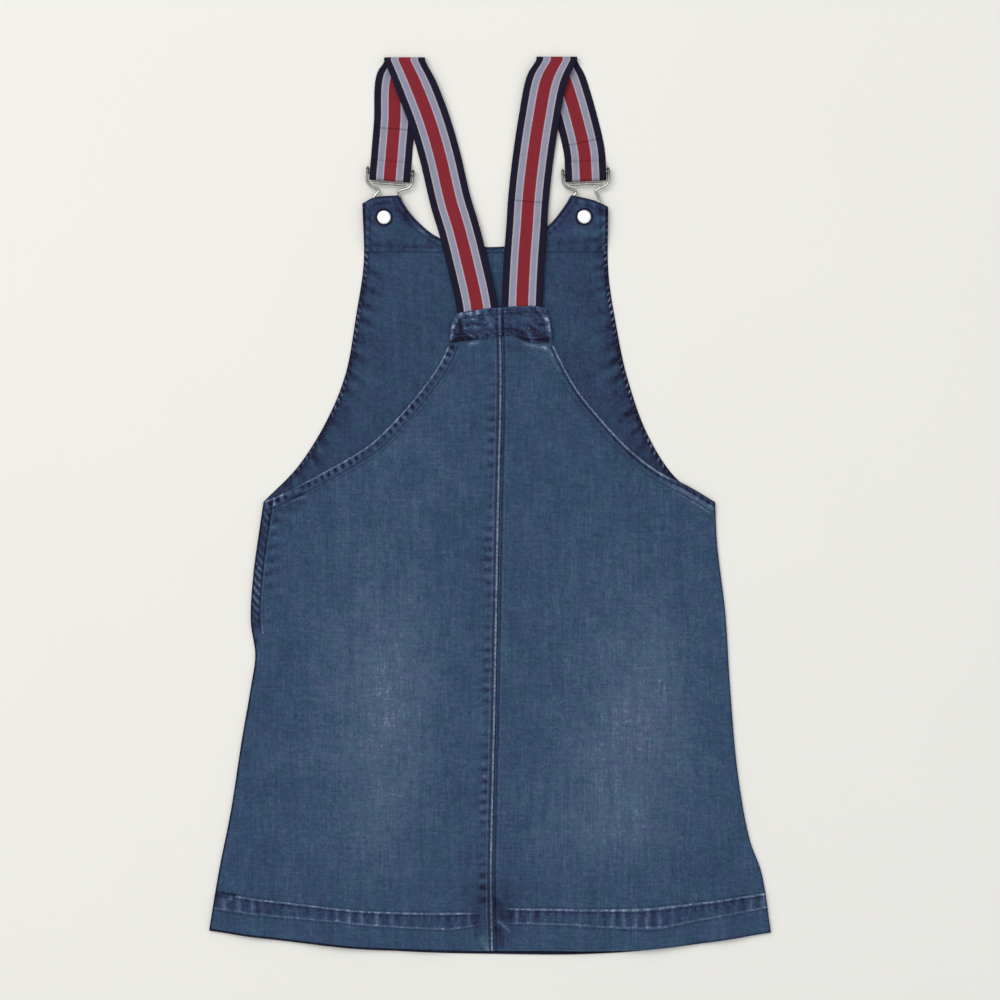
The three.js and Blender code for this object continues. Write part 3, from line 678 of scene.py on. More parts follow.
def shell(name: str, plan: np.ndarray, relief: Relief, stride: int) -> bpy.types.Object:
    """A closed thin wall over a grid, with a coarser grid on its underside.

    Args:
        name: The piece's name.
        plan: The grid's points in plan, by column and row.
        relief: Its heights and marks.
        stride: How many lines of the grid make one line of the underside.

    Returns:
        The object. Its mark "outside" is 1 on the upper side and 0 below.
    """
    columns, rows = plan.shape[:2]
    count = columns * rows
    index = np.arange(count).reshape(columns, rows)
    cells = np.stack([index[:-1, :-1], index[1:, :-1], index[1:, 1:], index[:-1, 1:]], -1).reshape(-1, 4)
    rim = np.concatenate([index[:, 0], index[-1, 1:], index[-2::-1, -1], index[0, -2:0:-1]])
    lines_i = [*range(0, columns - 1, stride), columns - 1]
    lines_j = [*range(0, rows - 1, stride), rows - 1]
    kept = np.zeros((columns, rows), bool)
    kept[np.ix_(lines_i, lines_j)] = True
    kept[[0, -1], :] = True
    kept[:, [0, -1]] = True
    lower = np.full((columns, rows), -1)
    lower[kept] = count + np.arange(kept.sum())
    faces = cells.tolist()
    for i0, i1 in zip(lines_i, lines_i[1:]):
        for j0, j1 in zip(lines_j, lines_j[1:]):
            step_i = 1 if j0 == 0 else i1 - i0
            step_top = 1 if j1 == rows - 1 else i1 - i0
            step_j = 1 if i1 == columns - 1 else j1 - j0
            step_left = 1 if i0 == 0 else j1 - j0
            ring = [lower[i, j0] for i in range(i0, i1, step_i)]
            ring += [lower[i1, j] for j in range(j0, j1, step_j)]
            ring += [lower[i, j1] for i in range(i1, i0, -step_top)]
            ring += [lower[i0, j] for j in range(j1, j0, -step_left)]
            faces.append([int(corner) for corner in reversed(ring)])
    low_rim = lower.ravel()[rim]
    faces += np.stack([low_rim, np.roll(low_rim, -1), np.roll(rim, -1), rim], -1).tolist()
    high = np.dstack([plan, relief.over]).reshape(-1, 3)
    low = np.dstack([plan, relief.under])[kept]
    marks = {mark: np.concatenate([values.ravel(), values[kept]]) for mark, values in relief.marks.items()}
    marks["outside"] = np.concatenate([np.ones(count), np.zeros(len(low))])
    return add_mesh(name, np.vstack([high, low]), faces, marks)


def tube(
    name: str, line: np.ndarray, radius: np.ndarray, dull: float = 0.001, sides: int = 16
) -> bpy.types.Object:
    """A round wire along a line, closed at both ends.

    Args:
        name: The piece's name.
        line: The points of its middle line.
        radius: Its radius at each point.
        darkening: How far it is darkened from each end.
        sides: How many sides its section has.

    Returns:
        The object. Its mark "darkening" is 1 towards each end, where the wire is darker, and up to 0.8 on its
        underside, where it carries painted shade.
    """
    heading = np.gradient(line, axis=0)
    heading /= np.linalg.norm(heading, axis=1, keepdims=True)
    side = np.cross(heading[0], (0.3, 0.2, 1.0))
    rings = []
    turn = np.linspace(0, 2 * math.pi, sides, endpoint=False)[:, None]
    for centre, forward, r in zip(line, heading, radius):
        side = side - forward * (side @ forward)
        side /= np.linalg.norm(side)
        rings.append(centre + r * (np.cos(turn) * side + np.sin(turn) * np.cross(forward, side)))
    index = np.arange(len(line) * sides).reshape(len(line), sides)
    after = np.roll(index, -1, axis=1)
    faces = np.stack([index[:-1], after[:-1], after[1:], index[1:]], -1).reshape(-1, 4).tolist()
    faces += [index[0][::-1].tolist(), index[-1].tolist()]
    far = travelled(line)
    # Darker towards each end of the wire
    darkened = 1 - smooth(0.7 * dull, 1.3 * dull, np.minimum(far, far[-1] - far))
    points = np.vstack(rings)
    # Painted shade on the underside of the wire, which faces away from the light
    lean = (points[:, 2] - np.repeat(line[:, 2], sides)) / np.repeat(radius, sides)
    low = 1 - smooth(*WIRE_UNDERSIDE, lean)
    return add_mesh(name, points, faces, {"dull": np.maximum(np.repeat(darkened, sides), UNDERSIDE_SHADE * low)})


def round_ends(line: np.ndarray, radius: float, steps: int = 5) -> tuple[np.ndarray, np.ndarray]:
    """Lengthen a wire's line by a round tip at each end.

    Args:
        line: The wire's line.
        radius: The wire's radius.
        steps: How many rings a tip has.

    Returns:
        The longer line and the radius at each of its points.
    """
    angle = np.linspace(0, math.pi / 2, steps + 1)[1:, None] * TIP_SHARE
    first = line[0] - line[1]
    last = line[-1] - line[-2]
    head = line[0] + radius * np.sin(angle) * first / np.linalg.norm(first)
    tail = line[-1] + radius * np.sin(angle) * last / np.linalg.norm(last)
    taper = radius * np.cos(angle[:, 0])
    sizes = np.concatenate([taper[::-1], np.full(len(line), radius), taper])
    return np.vstack([head[::-1], line, tail]), sizes


def turned(
    name: str, profile: Sequence[tuple[float, float]], centre: tuple[float, float], sides: int = 64
) -> bpy.types.Object:
    """A round metal part, turned about an upright axis.

    Args:
        name: The piece's name.
        profile: Radius and height of each point, from the axis and back to it.
        centre: The axis in plan.
        sides: How many sides it has.

    Returns:
        The object.
    """
    turn = np.linspace(0, 2 * math.pi, sides, endpoint=False)
    rows = np.array(profile[1:-1], float)
    circle = np.stack([np.cos(turn), np.sin(turn)], -1)
    rings = [np.column_stack([radius * circle, np.full(sides, z)]) for radius, z in rows]
    poles = np.array([(0, 0, profile[0][1]), (0, 0, profile[-1][1])], float)
    points = np.vstack([*rings, poles]) + (*centre, 0)
    index = np.arange(len(rows) * sides).reshape(len(rows), sides)
    after = np.roll(index, -1, axis=1)
    faces = np.stack([index[:-1], after[:-1], after[1:], index[1:]], -1).reshape(-1, 4).tolist()
    foot, head = len(points) - 2, len(points) - 1
    faces += [[foot, after[0][k], index[0][k]] for k in range(sides)]
    faces += [[head, index[-1][k], after[-1][k]] for k in range(sides)]
    return add_mesh(name, points, faces)


@dataclass(frozen=True)
class Thread:
    """Sewing thread and its stitches."""

    pitch: float = 3.1
    length: float = 2.5
    radius: float = 0.3
    sides: int = 6
    sway: float = 0.06
    sway_rate: float = 2.4
    arch: float = 1.15
    sunk: float = 0.5
    taper: tuple[float, ...] = (0.45, 0.95, 1.0, 0.95, 0.45)

    def sew(self, name: str, lines: Sequence[np.ndarray], surface: Surface) -> bpy.types.Object:
        """Lay rows of stitches on a surface, as one joined mesh.

        Args:
            name: The piece's name.
            lines: The rows in plan.
            surface: Gives the height of the cloth.

        Returns:
            The object.
        """
        reaches = np.linspace(-1, 1, len(self.taper))
        centres = []
        for line in lines:
            starts = np.arange(self.pitch / 2, travelled(line)[-1], self.pitch)
            sway = self.sway * self.pitch * np.sin(self.sway_rate * starts)
            places = (starts + sway)[:, None] + reaches * self.length / 2
            centres.append(evenly(line, places))
        plan = np.concatenate(centres)
        heading = plan[:, -1] - plan[:, 0]
        heading /= np.linalg.norm(heading, axis=1, keepdims=True)
        side = np.column_stack([-heading[:, 1], heading[:, 0], np.zeros(len(plan))])
        height = surface(plan[..., 0], plan[..., 1]).over
        arch = self.radius * (self.arch * (1 - reaches**2) - self.sunk)
        taper = self.radius * np.array(self.taper)
        middle = np.dstack([plan, height + arch])
        turn = np.linspace(0, 2 * math.pi, self.sides, endpoint=False)
        ring = side[:, None, None] * np.cos(turn)[:, None] + np.array((0, 0, 1)) * np.sin(turn)[:, None]
        points = middle[:, :, None] + ring * taper[None, :, None, None]
        index = np.arange(points.size // 3).reshape(points.shape[:3])
        after = np.roll(index, -1, axis=2)
        walls = np.stack([index[:, :-1], index[:, 1:], after[:, 1:], after[:, :-1]], -1)
        faces = walls.reshape(-1, 4).tolist() + index[:, 0].tolist() + index[:, -1, ::-1].tolist()
        return add_mesh(name, points.reshape(-1, 3), faces)


@dataclass(frozen=True)
class Grain:
    """Soft noise of a finish: the size of its grains along X, Y and Z, and how it is layered and turned."""

    size: tuple[float, float, float]
    layers: float = 2
    turn: float = 0
    rough: float = 0.55


class Signal:
    """A number that varies over a surface: a socket that can stand in a Python sum."""

    def __init__(self, shader: "Shader", socket: bpy.types.NodeSocket) -> None:
        """Wrap a socket of a shader."""
        self.shader = shader
        self.socket = socket

    def calculate(self, operation: str, *values: "Signal | float") -> "Signal":
        """Add a Math node.

        Args:
            operation: What the node works out.
            values: Its inputs, in order.

        Returns:
            Its result.
        """
        node = self.shader.node("ShaderNodeMath", {"operation": operation}, dict(enumerate(values)))
        return Signal(self.shader, node.outputs[0])

    def __add__(self, other: "Signal | float") -> "Signal":
        """This and another number added."""
        return self.calculate("ADD", self, other)

    def __radd__(self, other: float) -> "Signal":
        """Another number and this added."""
        return self.calculate("ADD", other, self)

    def __sub__(self, other: "Signal | float") -> "Signal":
        """This less another number."""
        return self.calculate("SUBTRACT", self, other)

    def __rsub__(self, other: float) -> "Signal":
        """Another number less this."""
        return self.calculate("SUBTRACT", other, self)

    def __mul__(self, other: "Signal | float") -> "Signal":
        """This times another number."""
        return self.calculate("MULTIPLY", self, other)

    def __rmul__(self, other: float) -> "Signal":
        """Another number times this."""
        return self.calculate("MULTIPLY", other, self)

    def __truediv__(self, other: "Signal | float") -> "Signal":
        """This divided by another number."""
        return self.calculate("DIVIDE", self, other)

    def __abs__(self) -> "Signal":
        """The size of this without its sign."""
        return self.calculate("ABSOLUTE", self)

    def sine(self) -> "Signal":
        """The sine of this."""
        return self.calculate("SINE", self)

    def power(self, exponent: float) -> "Signal":
        """This to a power."""
        return self.calculate("POWER", self, exponent)

    def step(self, low: float, high: float) -> "Signal":
        """A soft step of this, from 0 at the low number to 1 at the high one.

        Args:
            low: Where the step starts.
            high: Where it ends.

        Returns:
            The step.
        """
        node = self.shader.node(
            "ShaderNodeMapRange",
            {"interpolation_type": "SMOOTHSTEP"},
            {"Value": self, "From Min": low, "From Max": high},
        )
        return Signal(self.shader, node.outputs[0])


class Shader:
    """The node tree of one finish, or of the room's light."""

    def __init__(self, owner: bpy.types.Material | bpy.types.World) -> None:
        """Start an empty node tree.

        Args:
            owner: The material or world that it belongs to.
        """
        self.owner = owner
        self.owner.use_nodes = True
        self.tree = self.owner.node_tree
        self.tree.nodes.clear()

    def node(
        self, kind: str, settings: Settings | None = None, values: Values | None = None
    ) -> bpy.types.Node:
        """Add a node.

        Args:
            kind: The node's type.
            settings: Its settings, which are set first. "stops" are a ramp's places and colours.
            values: The value or link of each socket, by name or number.

        Returns:
            The node.
        """
        made = self.tree.nodes.new(kind)
        for key, value in (settings or {}).items():
            if key == "stops":
                stops = made.color_ramp.elements
                while len(stops) < len(value):
                    stops.new(1)
                for stop, (place, colour) in zip(stops, value):
                    stop.position = place
                    stop.color = (*colour, 1)
            else:
                setattr(made, key, value)
        for key, value in (values or {}).items():
            socket = value.socket if isinstance(value, Signal) else value
            if isinstance(socket, bpy.types.NodeSocket):
                self.tree.links.new(socket, made.inputs[key])
            else:
                made.inputs[key].default_value = socket
        return made

    def mark(self, name: str) -> Signal:
        """A number that the mesh holds at each point."""
        return Signal(self, self.node("ShaderNodeAttribute", {"attribute_name": name}).outputs["Fac"])

    def place(self) -> bpy.types.NodeSocket:
        """The place on the object, in metres in the frame."""
        return self.node("ShaderNodeTexCoord").outputs["Object"]

    def noise(self, grain: Grain) -> Signal:
        """Soft noise around 0, from about -1 to 1.

        Args:
            grain: Its grains.

        Returns:
            The noise.
        """
        turned_place = self.node(
            "ShaderNodeVectorRotate",
            {"rotation_type": "Z_AXIS"},
            {"Vector": self.place(), "Angle": math.radians(grain.turn)},
        )
        scaled = self.node(
            "ShaderNodeVectorMath",
            {"operation": "MULTIPLY"},
            {0: turned_place.outputs[0], 1: tuple(1 / (MM * length) for length in grain.size)},
        )
        cells = self.node(
            "ShaderNodeTexNoise",
            None,
            {"Vector": scaled.outputs[0], "Scale": 1.0, "Detail": grain.layers, "Roughness": grain.rough},
        )
        return (Signal(self, cells.outputs["Fac"]) - 0.5) * NOISE_SPREAD

    def colour(self, signal: Signal, stops: Sequence[Stop]) -> bpy.types.NodeSocket:
        """The colour of a number on a ramp."""
        return self.node("ShaderNodeValToRGB", {"stops": stops}, {"Fac": signal}).outputs["Color"]

    def mix(
        self, share: "Signal | float", first: object, second: object, way: str = "MIX"
    ) -> bpy.types.NodeSocket:
        """A mixture of two colours, in one of the node's ways."""
        settings = {"data_type": "RGBA", "blend_type": way}
        return self.node("ShaderNodeMix", settings, {0: share, 6: first, 7: second}).outputs[2]

    def bump(self, height: Signal, depth: float, strength: float = 1.0) -> bpy.types.NodeSocket:
        """Relief of the finish: its height from 0 to 1 stands for a depth in millimetres."""
        values = {"Height": height, "Distance": depth * MM, "Strength": strength}
        return self.node("ShaderNodeBump", None, values).outputs["Normal"]

    def close(self, changing: Values, constants: Values) -> bpy.types.Material:
        """Finish the material.

        Args:
            changing: What feeds the shader's sockets.
            constants: What is set on them.

        Returns:
            The material.
        """
        surface = self.node("ShaderNodeBsdfPrincipled", None, {**constants, **changing})
        self.node("ShaderNodeOutputMaterial", None, {"Surface": surface.outputs["BSDF"]})
        return self.owner


@dataclass(frozen=True)
class SeamLine:
    """A line along a seam or an edge that is worn light or darker; the dark lines along the outer edges are
    painted shade.
    """

    mark: str
    at: float
    half: float
    change: float
    broken: float = 0.0
    where: str = ""


# Grains of the denim
WARP = Grain((1.3, 26, 30), 3, rough=0.6)
BROAD_WARP = Grain((5, 90, 60))
WEFT = Grain((14, 1.2, 9))
SLUBS = Grain((1.5, 1.8, 2), turn=24, rough=0.7)
CLOUDS = Grain((24, 30, 30), 3)
TWILL = Grain((0.55, 3.4, 2), 1, -27)
WORN_SPOTS = Grain((2.8, 2.4, 4))
BLOTCHES = Grain((4.6, 3.6, 5), turn=40, rough=0.7)
HUES = Grain((17, 14, 14), 3, 15)


@dataclass(frozen=True)
class Denim:
    """Washed denim: indigo that goes from deep navy in its seams to pale blue on worn ridges."""

    name: str
    streak: float = 0.09
    fade_streak: float = 0.2
    weft: float = 0.07
    grain: float = 0.14
    mottle: float = 0.07
    fleck: float = 0.3
    blotch: float = 0.09
    lines: tuple[SeamLine, ...] = ()
    cool: Colour = (0.91, 1.035, 0.97)
    warm: Colour = (1.09, 0.965, 1.04)
    raw: Colour = (0.03, 0.05, 0.09)
    shades: tuple[Stop, ...] = (
        (0.0, (0.0080, 0.0085, 0.021)),
        (0.25, (0.020, 0.031, 0.070)),
        (0.5, (0.032, 0.066, 0.121)),
        (0.75, (0.073, 0.113, 0.178)),
        (1.0, (0.27, 0.32, 0.41)),
    )

    def make(self) -> bpy.types.Material:
        """Make the finish from the cloth's marks.

        Returns:
            The material.
        """
        shader = Shader(bpy.data.materials.new(self.name))
        fine = shader.noise(WARP)
        broad = shader.noise(BROAD_WARP)
        weft = shader.noise(WEFT)
        grain = shader.noise(SLUBS)
        cloud = shader.noise(CLOUDS)
        twill = shader.noise(TWILL)
        strength = self.streak + self.fade_streak * shader.mark("fade")
        wash = shader.mark("wash") + fine * strength + broad * (strength * 0.5)
        wash = wash + grain * self.grain + weft * self.weft + cloud * self.mottle + twill * 0.03
        patchy = shader.noise(WORN_SPOTS)
        wash = wash + shader.noise(BLOTCHES) * self.blotch
        worn = shader.mark("worn")
        flecks = patchy.step(0.25, 0.85) - (0 - patchy).step(0.25, 0.85) * 0.8
        wash = wash + worn * flecks * self.fleck
        for line in self.lines:
            near = 1 - abs(shader.mark(line.mark) - line.at).step(line.half * 0.45, line.half * 1.3)
            if line.broken:
                near = near * (1 + patchy * line.broken)
            if line.where:
                near = near * shader.mark(line.where)
            wash = wash + near * line.change
        colour = shader.colour(wash, self.shades)
        hue = shader.noise(HUES).step(-0.8, 0.8) + worn * 0.6
        tint = shader.mix(hue, (*self.cool, 1), (*self.warm, 1))
        colour = shader.mix(1.0, colour, tint, "MULTIPLY")
        colour = shader.mix(shader.mark("outside") * 0.3 + 0.7, (*self.raw, 1), colour)
        height = twill * 0.3 + grain * 0.4 + fine * 0.2 + weft * 0.2 + 0.5
        return shader.close(
            {"Base Color": colour, "Roughness": 0.9 + grain * 0.04, "Normal": shader.bump(height, 0.3, 0.9)},
            {"Specular IOR Level": 0.12},
        )


@dataclass(frozen=True)
class TapeFinish:
    """Woven tape with five stripes parted by thin light lines."""

    name: str = "tape"
    navy: Colour = (0.0105, 0.0085, 0.023)
    grey: Colour = (0.265, 0.28, 0.36)
    red: Colour = (0.222, 0.020, 0.030)
    pale: Colour = (0.50, 0.45, 0.50)
    shaded: Colour = (0.62, 0.6, 0.62)
    lit: Colour = (1.18, 1.16, 1.16)
    edge: float = 0.62
    middle: float = 0.31
    line: float = 0.04
    pick: float = 1.15
    creases: tuple[float, ...] = ()

    def make(self) -> bpy.types.Material:
        """Make the finish from the marks "across", -1 to 1, and "along", in millimetres.

        Returns:
            The material.
        """
        shader = Shader(bpy.data.materials.new(self.name))
        across = abs(shader.mark("across"))
        weave = shader.noise(Grain((0.8, 0.8, 2)))
        place = across + weave * 0.012
        is_grey = place.step(self.middle, self.middle + 0.02) - place.step(self.edge, self.edge + 0.02)
        is_red = 1 - place.step(self.middle, self.middle + 0.02)
        thin = 1 - abs(place - (self.edge + 0.01)).step(self.line * 0.3, self.line)
        inner = 1 - abs(place - (self.middle + 0.01)).step(self.line * 0.3, self.line)
        colour = shader.mix(is_grey, (*self.navy, 1), (*self.grey, 1))
        colour = shader.mix(is_red, colour, (*self.red, 1))
        colour = shader.mix((thin + inner) * 0.8, colour, (*self.pale, 1))
        pick = (shader.mark("along") * (2 * math.pi / self.pick)).sine()
        worn = shader.noise(Grain((4, 9, 9), 3))
        shade = pick * 0.05 + weave * 0.16 + worn * 0.12 + 0.55
        # Painted shade across the tape at each crease
        for at in self.creases:
            shade = shade - (1 - abs(shader.mark("along") - at).step(0.3, 0.9)) * 0.8
        dark = shader.mix(1.0, colour, (*self.shaded, 1), "MULTIPLY")
        light = shader.mix(1.0, colour, (*self.lit, 1), "MULTIPLY")
        colour = shader.mix(shade, dark, light)
        return shader.close(
            {"Base Color": colour, "Roughness": 0.78 + weave * 0.05,
             "Normal": shader.bump(pick * 0.3 + weave * 0.3 + 0.5, 0.16, 0.7)},
            {"Specular IOR Level": 0.1},
        )


@dataclass(frozen=True)
class NickelFinish:
    """Bright nickel plate with fine handling marks."""

    name: str
    colour: Colour
    worn: Colour
    roughness: float
    darkened: Colour = (0.07, 0.068, 0.066)

    def make(self) -> bpy.types.Material:
        """Make the finish.

        Returns:
            The material.
        """
        shader = Shader(bpy.data.materials.new(self.name))
        scuff = shader.noise(Grain((1.5, 1.5, 1.5), 3))
        tarnish = shader.noise(Grain((5, 5, 5)))
        colour = shader.mix(tarnish.step(-0.3, 0.7) * 0.7, (*self.colour, 1), (*self.worn, 1))
        # Darker towards the wire's ends, and painted shade on its underside
        colour = shader.mix(shader.mark("dull") * 0.85, colour, (*self.darkened, 1))
        return shader.close(
            {"Base Color": colour, "Roughness": self.roughness + scuff * 0.05,
             "Normal": shader.bump(scuff * 0.3 + 0.5, 0.03, 0.4)},
            {"Metallic": 1.0},
        )


@dataclass(frozen=True)
class ThreadFinish:
    """Twisted sewing thread."""

    name: str
    colour: Colour

    def make(self) -> bpy.types.Material:
        """Make the finish.

        Returns:
            The material.
        """
        shader = Shader(bpy.data.materials.new(self.name))
        twist = shader.noise(Grain((0.4, 0.4, 0.4)))
        worn = shader.noise(Grain((9, 9, 9)))
        dark = tuple(0.55 * value for value in self.colour)
        colour = shader.mix(twist * 0.25 + worn * 0.3 + 0.5, (*dark, 1), (*self.colour, 1))
        return shader.close(
            {"Base Color": colour, "Roughness": 0.75 + twist * 0.05,
             "Normal": shader.bump(twist * 0.5 + 0.5, 0.1)},
            {"Specular IOR Level": 0.2},
        )


@dataclass(frozen=True)
class TableFinish:
    """Plain pale table."""

    name: str = "table"
    colour: Colour = (0.80, 0.783, 0.735)

    def make(self) -> bpy.types.Material:
        """Make the finish.

        Returns:
            The material.
        """
        shader = Shader(bpy.data.materials.new(self.name))
        cloud = shader.noise(Grain((240, 240, 240), 3))
        dark = tuple(0.97 * value for value in self.colour)
        colour = shader.mix(cloud * 0.3 + 0.5, (*dark, 1), (*self.colour, 1))
        return shader.close(
            {"Base Color": colour, "Roughness": 0.6 + cloud * 0.02},
            {"Specular IOR Level": 0.2},
        )


# The metal and the thread of this dress
NICKEL = NickelFinish("nickel", (0.44, 0.43, 0.41), (0.2, 0.19, 0.175), 0.16)
BRIGHT_NICKEL = NickelFinish("bright_nickel", (0.9, 0.89, 0.87), (0.75, 0.74, 0.72), 0.34)
NAVY_THREAD = ThreadFinish("navy_thread", (0.035, 0.05, 0.105))
PALE_THREAD = ThreadFinish("pale_thread", (0.15, 0.14, 0.21))


def settle(piece: bpy.types.Object, slot: Slot, material: bpy.types.Material, *nodes: str) -> None:
    """Dress a piece, put it on its body and hide any solids that it replaces.

    Args:
        piece: The piece.
        slot: The record's slot of its finish; not used.
        material: Its finish.
        nodes: The solids that it replaces.
    """
    piece.data.materials.append(material)
    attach(piece, BODY)
    if nodes:
        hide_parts(*nodes)
    LOG.info("%s: %d faces", piece.name, len(piece.data.polygons))


def plan_area(plan: np.ndarray) -> float:
    """Area of a grid in plan, in square metres.

    Args:
        plan: The points of the grid, by column and row.

    Returns:
        The area.
    """
    first = plan[1:, 1:] - plan[:-1, :-1]
    second = plan[:-1, 1:] - plan[1:, :-1]
    return float(np.abs(first[..., 0] * second[..., 1] - first[..., 1] * second[..., 0]).sum() / 2) * MM**2


@dataclass
class Front:
    """Front of the dress: bib and skirt in one cut, its inside up."""

    columns: int = 170
    skirt_rows: int = 60
    bib_rows: int = 220
    grid_size: tuple[float, float] = (380, 590)
    bib_share: float = 0.55
    foot_inset: float = 0.5
    stride: int = 5
    allowance: tuple[float, float] = (24, 44)
    cut_share: float = 1.1
    wash: float = 0.41
    rim: tuple[float, float] = (2.2, 4.0)
    right_shift: float = 37
    swell: float = 0.12
    swell_pitch: float = 31
    swell_in: tuple[float, float] = (18, 60)
    swell_up: tuple[float, float] = (40, 80)
    ticks: Pucker = Pucker(
        0.2, 3.2, 5.2, 0.7, 0.16, light=1.0, dark=0.2, slant=0.9, beyond=1, run_on=0, crisp=0.15
    )
    stitched: Pucker = Pucker(3, 9, 9.4, 1.3, 0.2, light=0.09, dark=0.05, slant=0.3, beyond=12, run_on=0.5)
    drawn_in: Pucker = Pucker(
        2.5, 11, 14.0, 2.0, 0.24, light=0.02, dark=0.19, slant=0.3, beyond=9, run_on=0.4
    )

    def __post_init__(self) -> None:
        """Lay out the edges."""
        sides = {side: Edge([*SIDES[side][:-1], *BIB_SIDES[side]]) for side in Side}
        self.hem = Edge(HEM_OF_FRONT)
        self.top = Edge(BIB_TOP)
        self.outer = sides
        self.bib_lines = [self.top.line(140)]
        for side in Side:
            self.bib_lines.append(sides[side](np.linspace(BIB_SHARE, 1, 90)))

    def plan(self) -> np.ndarray:
        """The front in plan.

        Returns:
            The points of its grid, by column and row.
        """
        width, length = self.grid_size
        u = shares(self.columns, width)
        fine = np.array(EDGE_LINES) / length
        first = FIRST_LINE / length
        low = np.linspace(first, self.bib_share, self.skirt_rows, endpoint=False)
        high = np.linspace(self.bib_share, 1 - first, self.bib_rows)
        v = np.concatenate([[0], fine, low, high, 1 - fine[::-1], [1]])
        inward = self.foot_inset * (1 - v)[:, None] * np.array((1, 0))
        left = self.outer[Side.LEFT](v) + inward
        right = self.outer[Side.RIGHT](v) - inward
        return patch(self.hem(u), self.top(u), left, right, u, v)

    def surface(self, x: np.ndarray, y: np.ndarray) -> Relief:
        """Heights of the front, with the turned edges of its bib drawn up by their stitching.

        Args:
            x: Where the points are along X.
            y: Where they are along Y.

        Returns:
            Its relief at the points.
        """
        reaches = [reach(line, x, y) for line in self.bib_lines]
        near = np.min([distance for distance, _ in reaches], axis=0)
        aside = np.minimum(reaches[1][0], reaches[2][0])
        along = np.where(reaches[1][0] < reaches[2][0], reaches[1][1], reaches[2][1] + self.right_shift)
        lift = horn_lift(x, y)
        turned_edge = smooth(*BIB_HEM_STARTS, y) * (1 - smooth(*BIB_HEM_ENDS, y))
        hem = 1 - smooth(BIB_HEM, BIB_HEM + SEAM_STEP, near)
        ticks, tick_tone, band = self.ticks.draw(aside, along)
        stitched, stitched_tone, _ = self.stitched.draw(aside, along)
        drawn, drawn_tone, _ = self.drawn_in.draw(aside, along)
        # Dark band along the bib's sides: painted shade where the cloth rolls over its edge
        rim = 1 - smooth(*self.rim, aside)
        crease, crease_tone = creased(FRONT_CREASES, x, y)
        free = smooth(*BIB_FREE, y)
        over = lift + WALL + EDGE_RISE * turned_edge * hem + (ticks + stitched + drawn) * free + crease
        swell = self.swell * pucker(x + 0.3 * y, self.swell_pitch, 1.9)
        over += swell * smooth(*self.swell_in, aside) * smooth(*self.swell_up, y)
        outline = np.min([near, *(reach(edge.line(80), x, y)[0] for edge in self.outer.values())], axis=0)
        seam_tone = tick_tone + stitched_tone + drawn_tone - 0.05 * hem - 0.36 * rim
        wash = self.wash + seam_tone * free + crease_tone
        wash = wash + 0.02 * smooth(40, 200, y) - 0.05 * smooth(20, 80, x)
        wash = wash - 0.05 * (1 - smooth(6, 26, aside)) * (1 - smooth(110, 170, y))
        marks = {
            "wash": wash,
            "fade": np.full(np.shape(x), 0.02),
            "worn": 0.15 + 0.7 * band * free,
            "edge": near,
            "hem": reach(self.hem.line(), x, y)[0],
        }
        return Relief(lift, over, marks).rounded(outline)

    def build(self) -> None:
        """Build the front, dress it and hide the solid that it replaces."""
        plan = self.plan()
        piece = shell("front", plan, self.surface(plan[..., 0], plan[..., 1]), self.stride)
        lines = (
            # Dark line at the very edge of the bib: painted edge shade
            SeamLine("edge", 0.2, 1.0, -0.3, 0.5),
            SeamLine("edge", BIB_ROW, 0.8, -0.10, 0.6),
            # Painted shadow on the hem, where it shows below the back's hem
            SeamLine("hem", 0, 4.0, -0.42, 0.2),
            SeamLine("hem", 30.0, 1.0, -0.14, 0.5),
        )
        settle(piece, Slot.INSIDE, Denim("bib_inside", lines=lines).make(), "front_panel")
        area = plan_area(plan) * self.cut_share

    def sew(self) -> bpy.types.Object:
        """Sew down the turned edges of the bib.

        Returns:
            The stitches.
        """
        rows = []
        for side in Side:
            line = self.outer[side](np.linspace(0.6, 0.985, 160))
            inward = -1 if side is Side.LEFT else 1
            rows.append(beside(line, inward * BIB_ROW))
        return Thread().sew("bib_stitches", rows, self.surface)


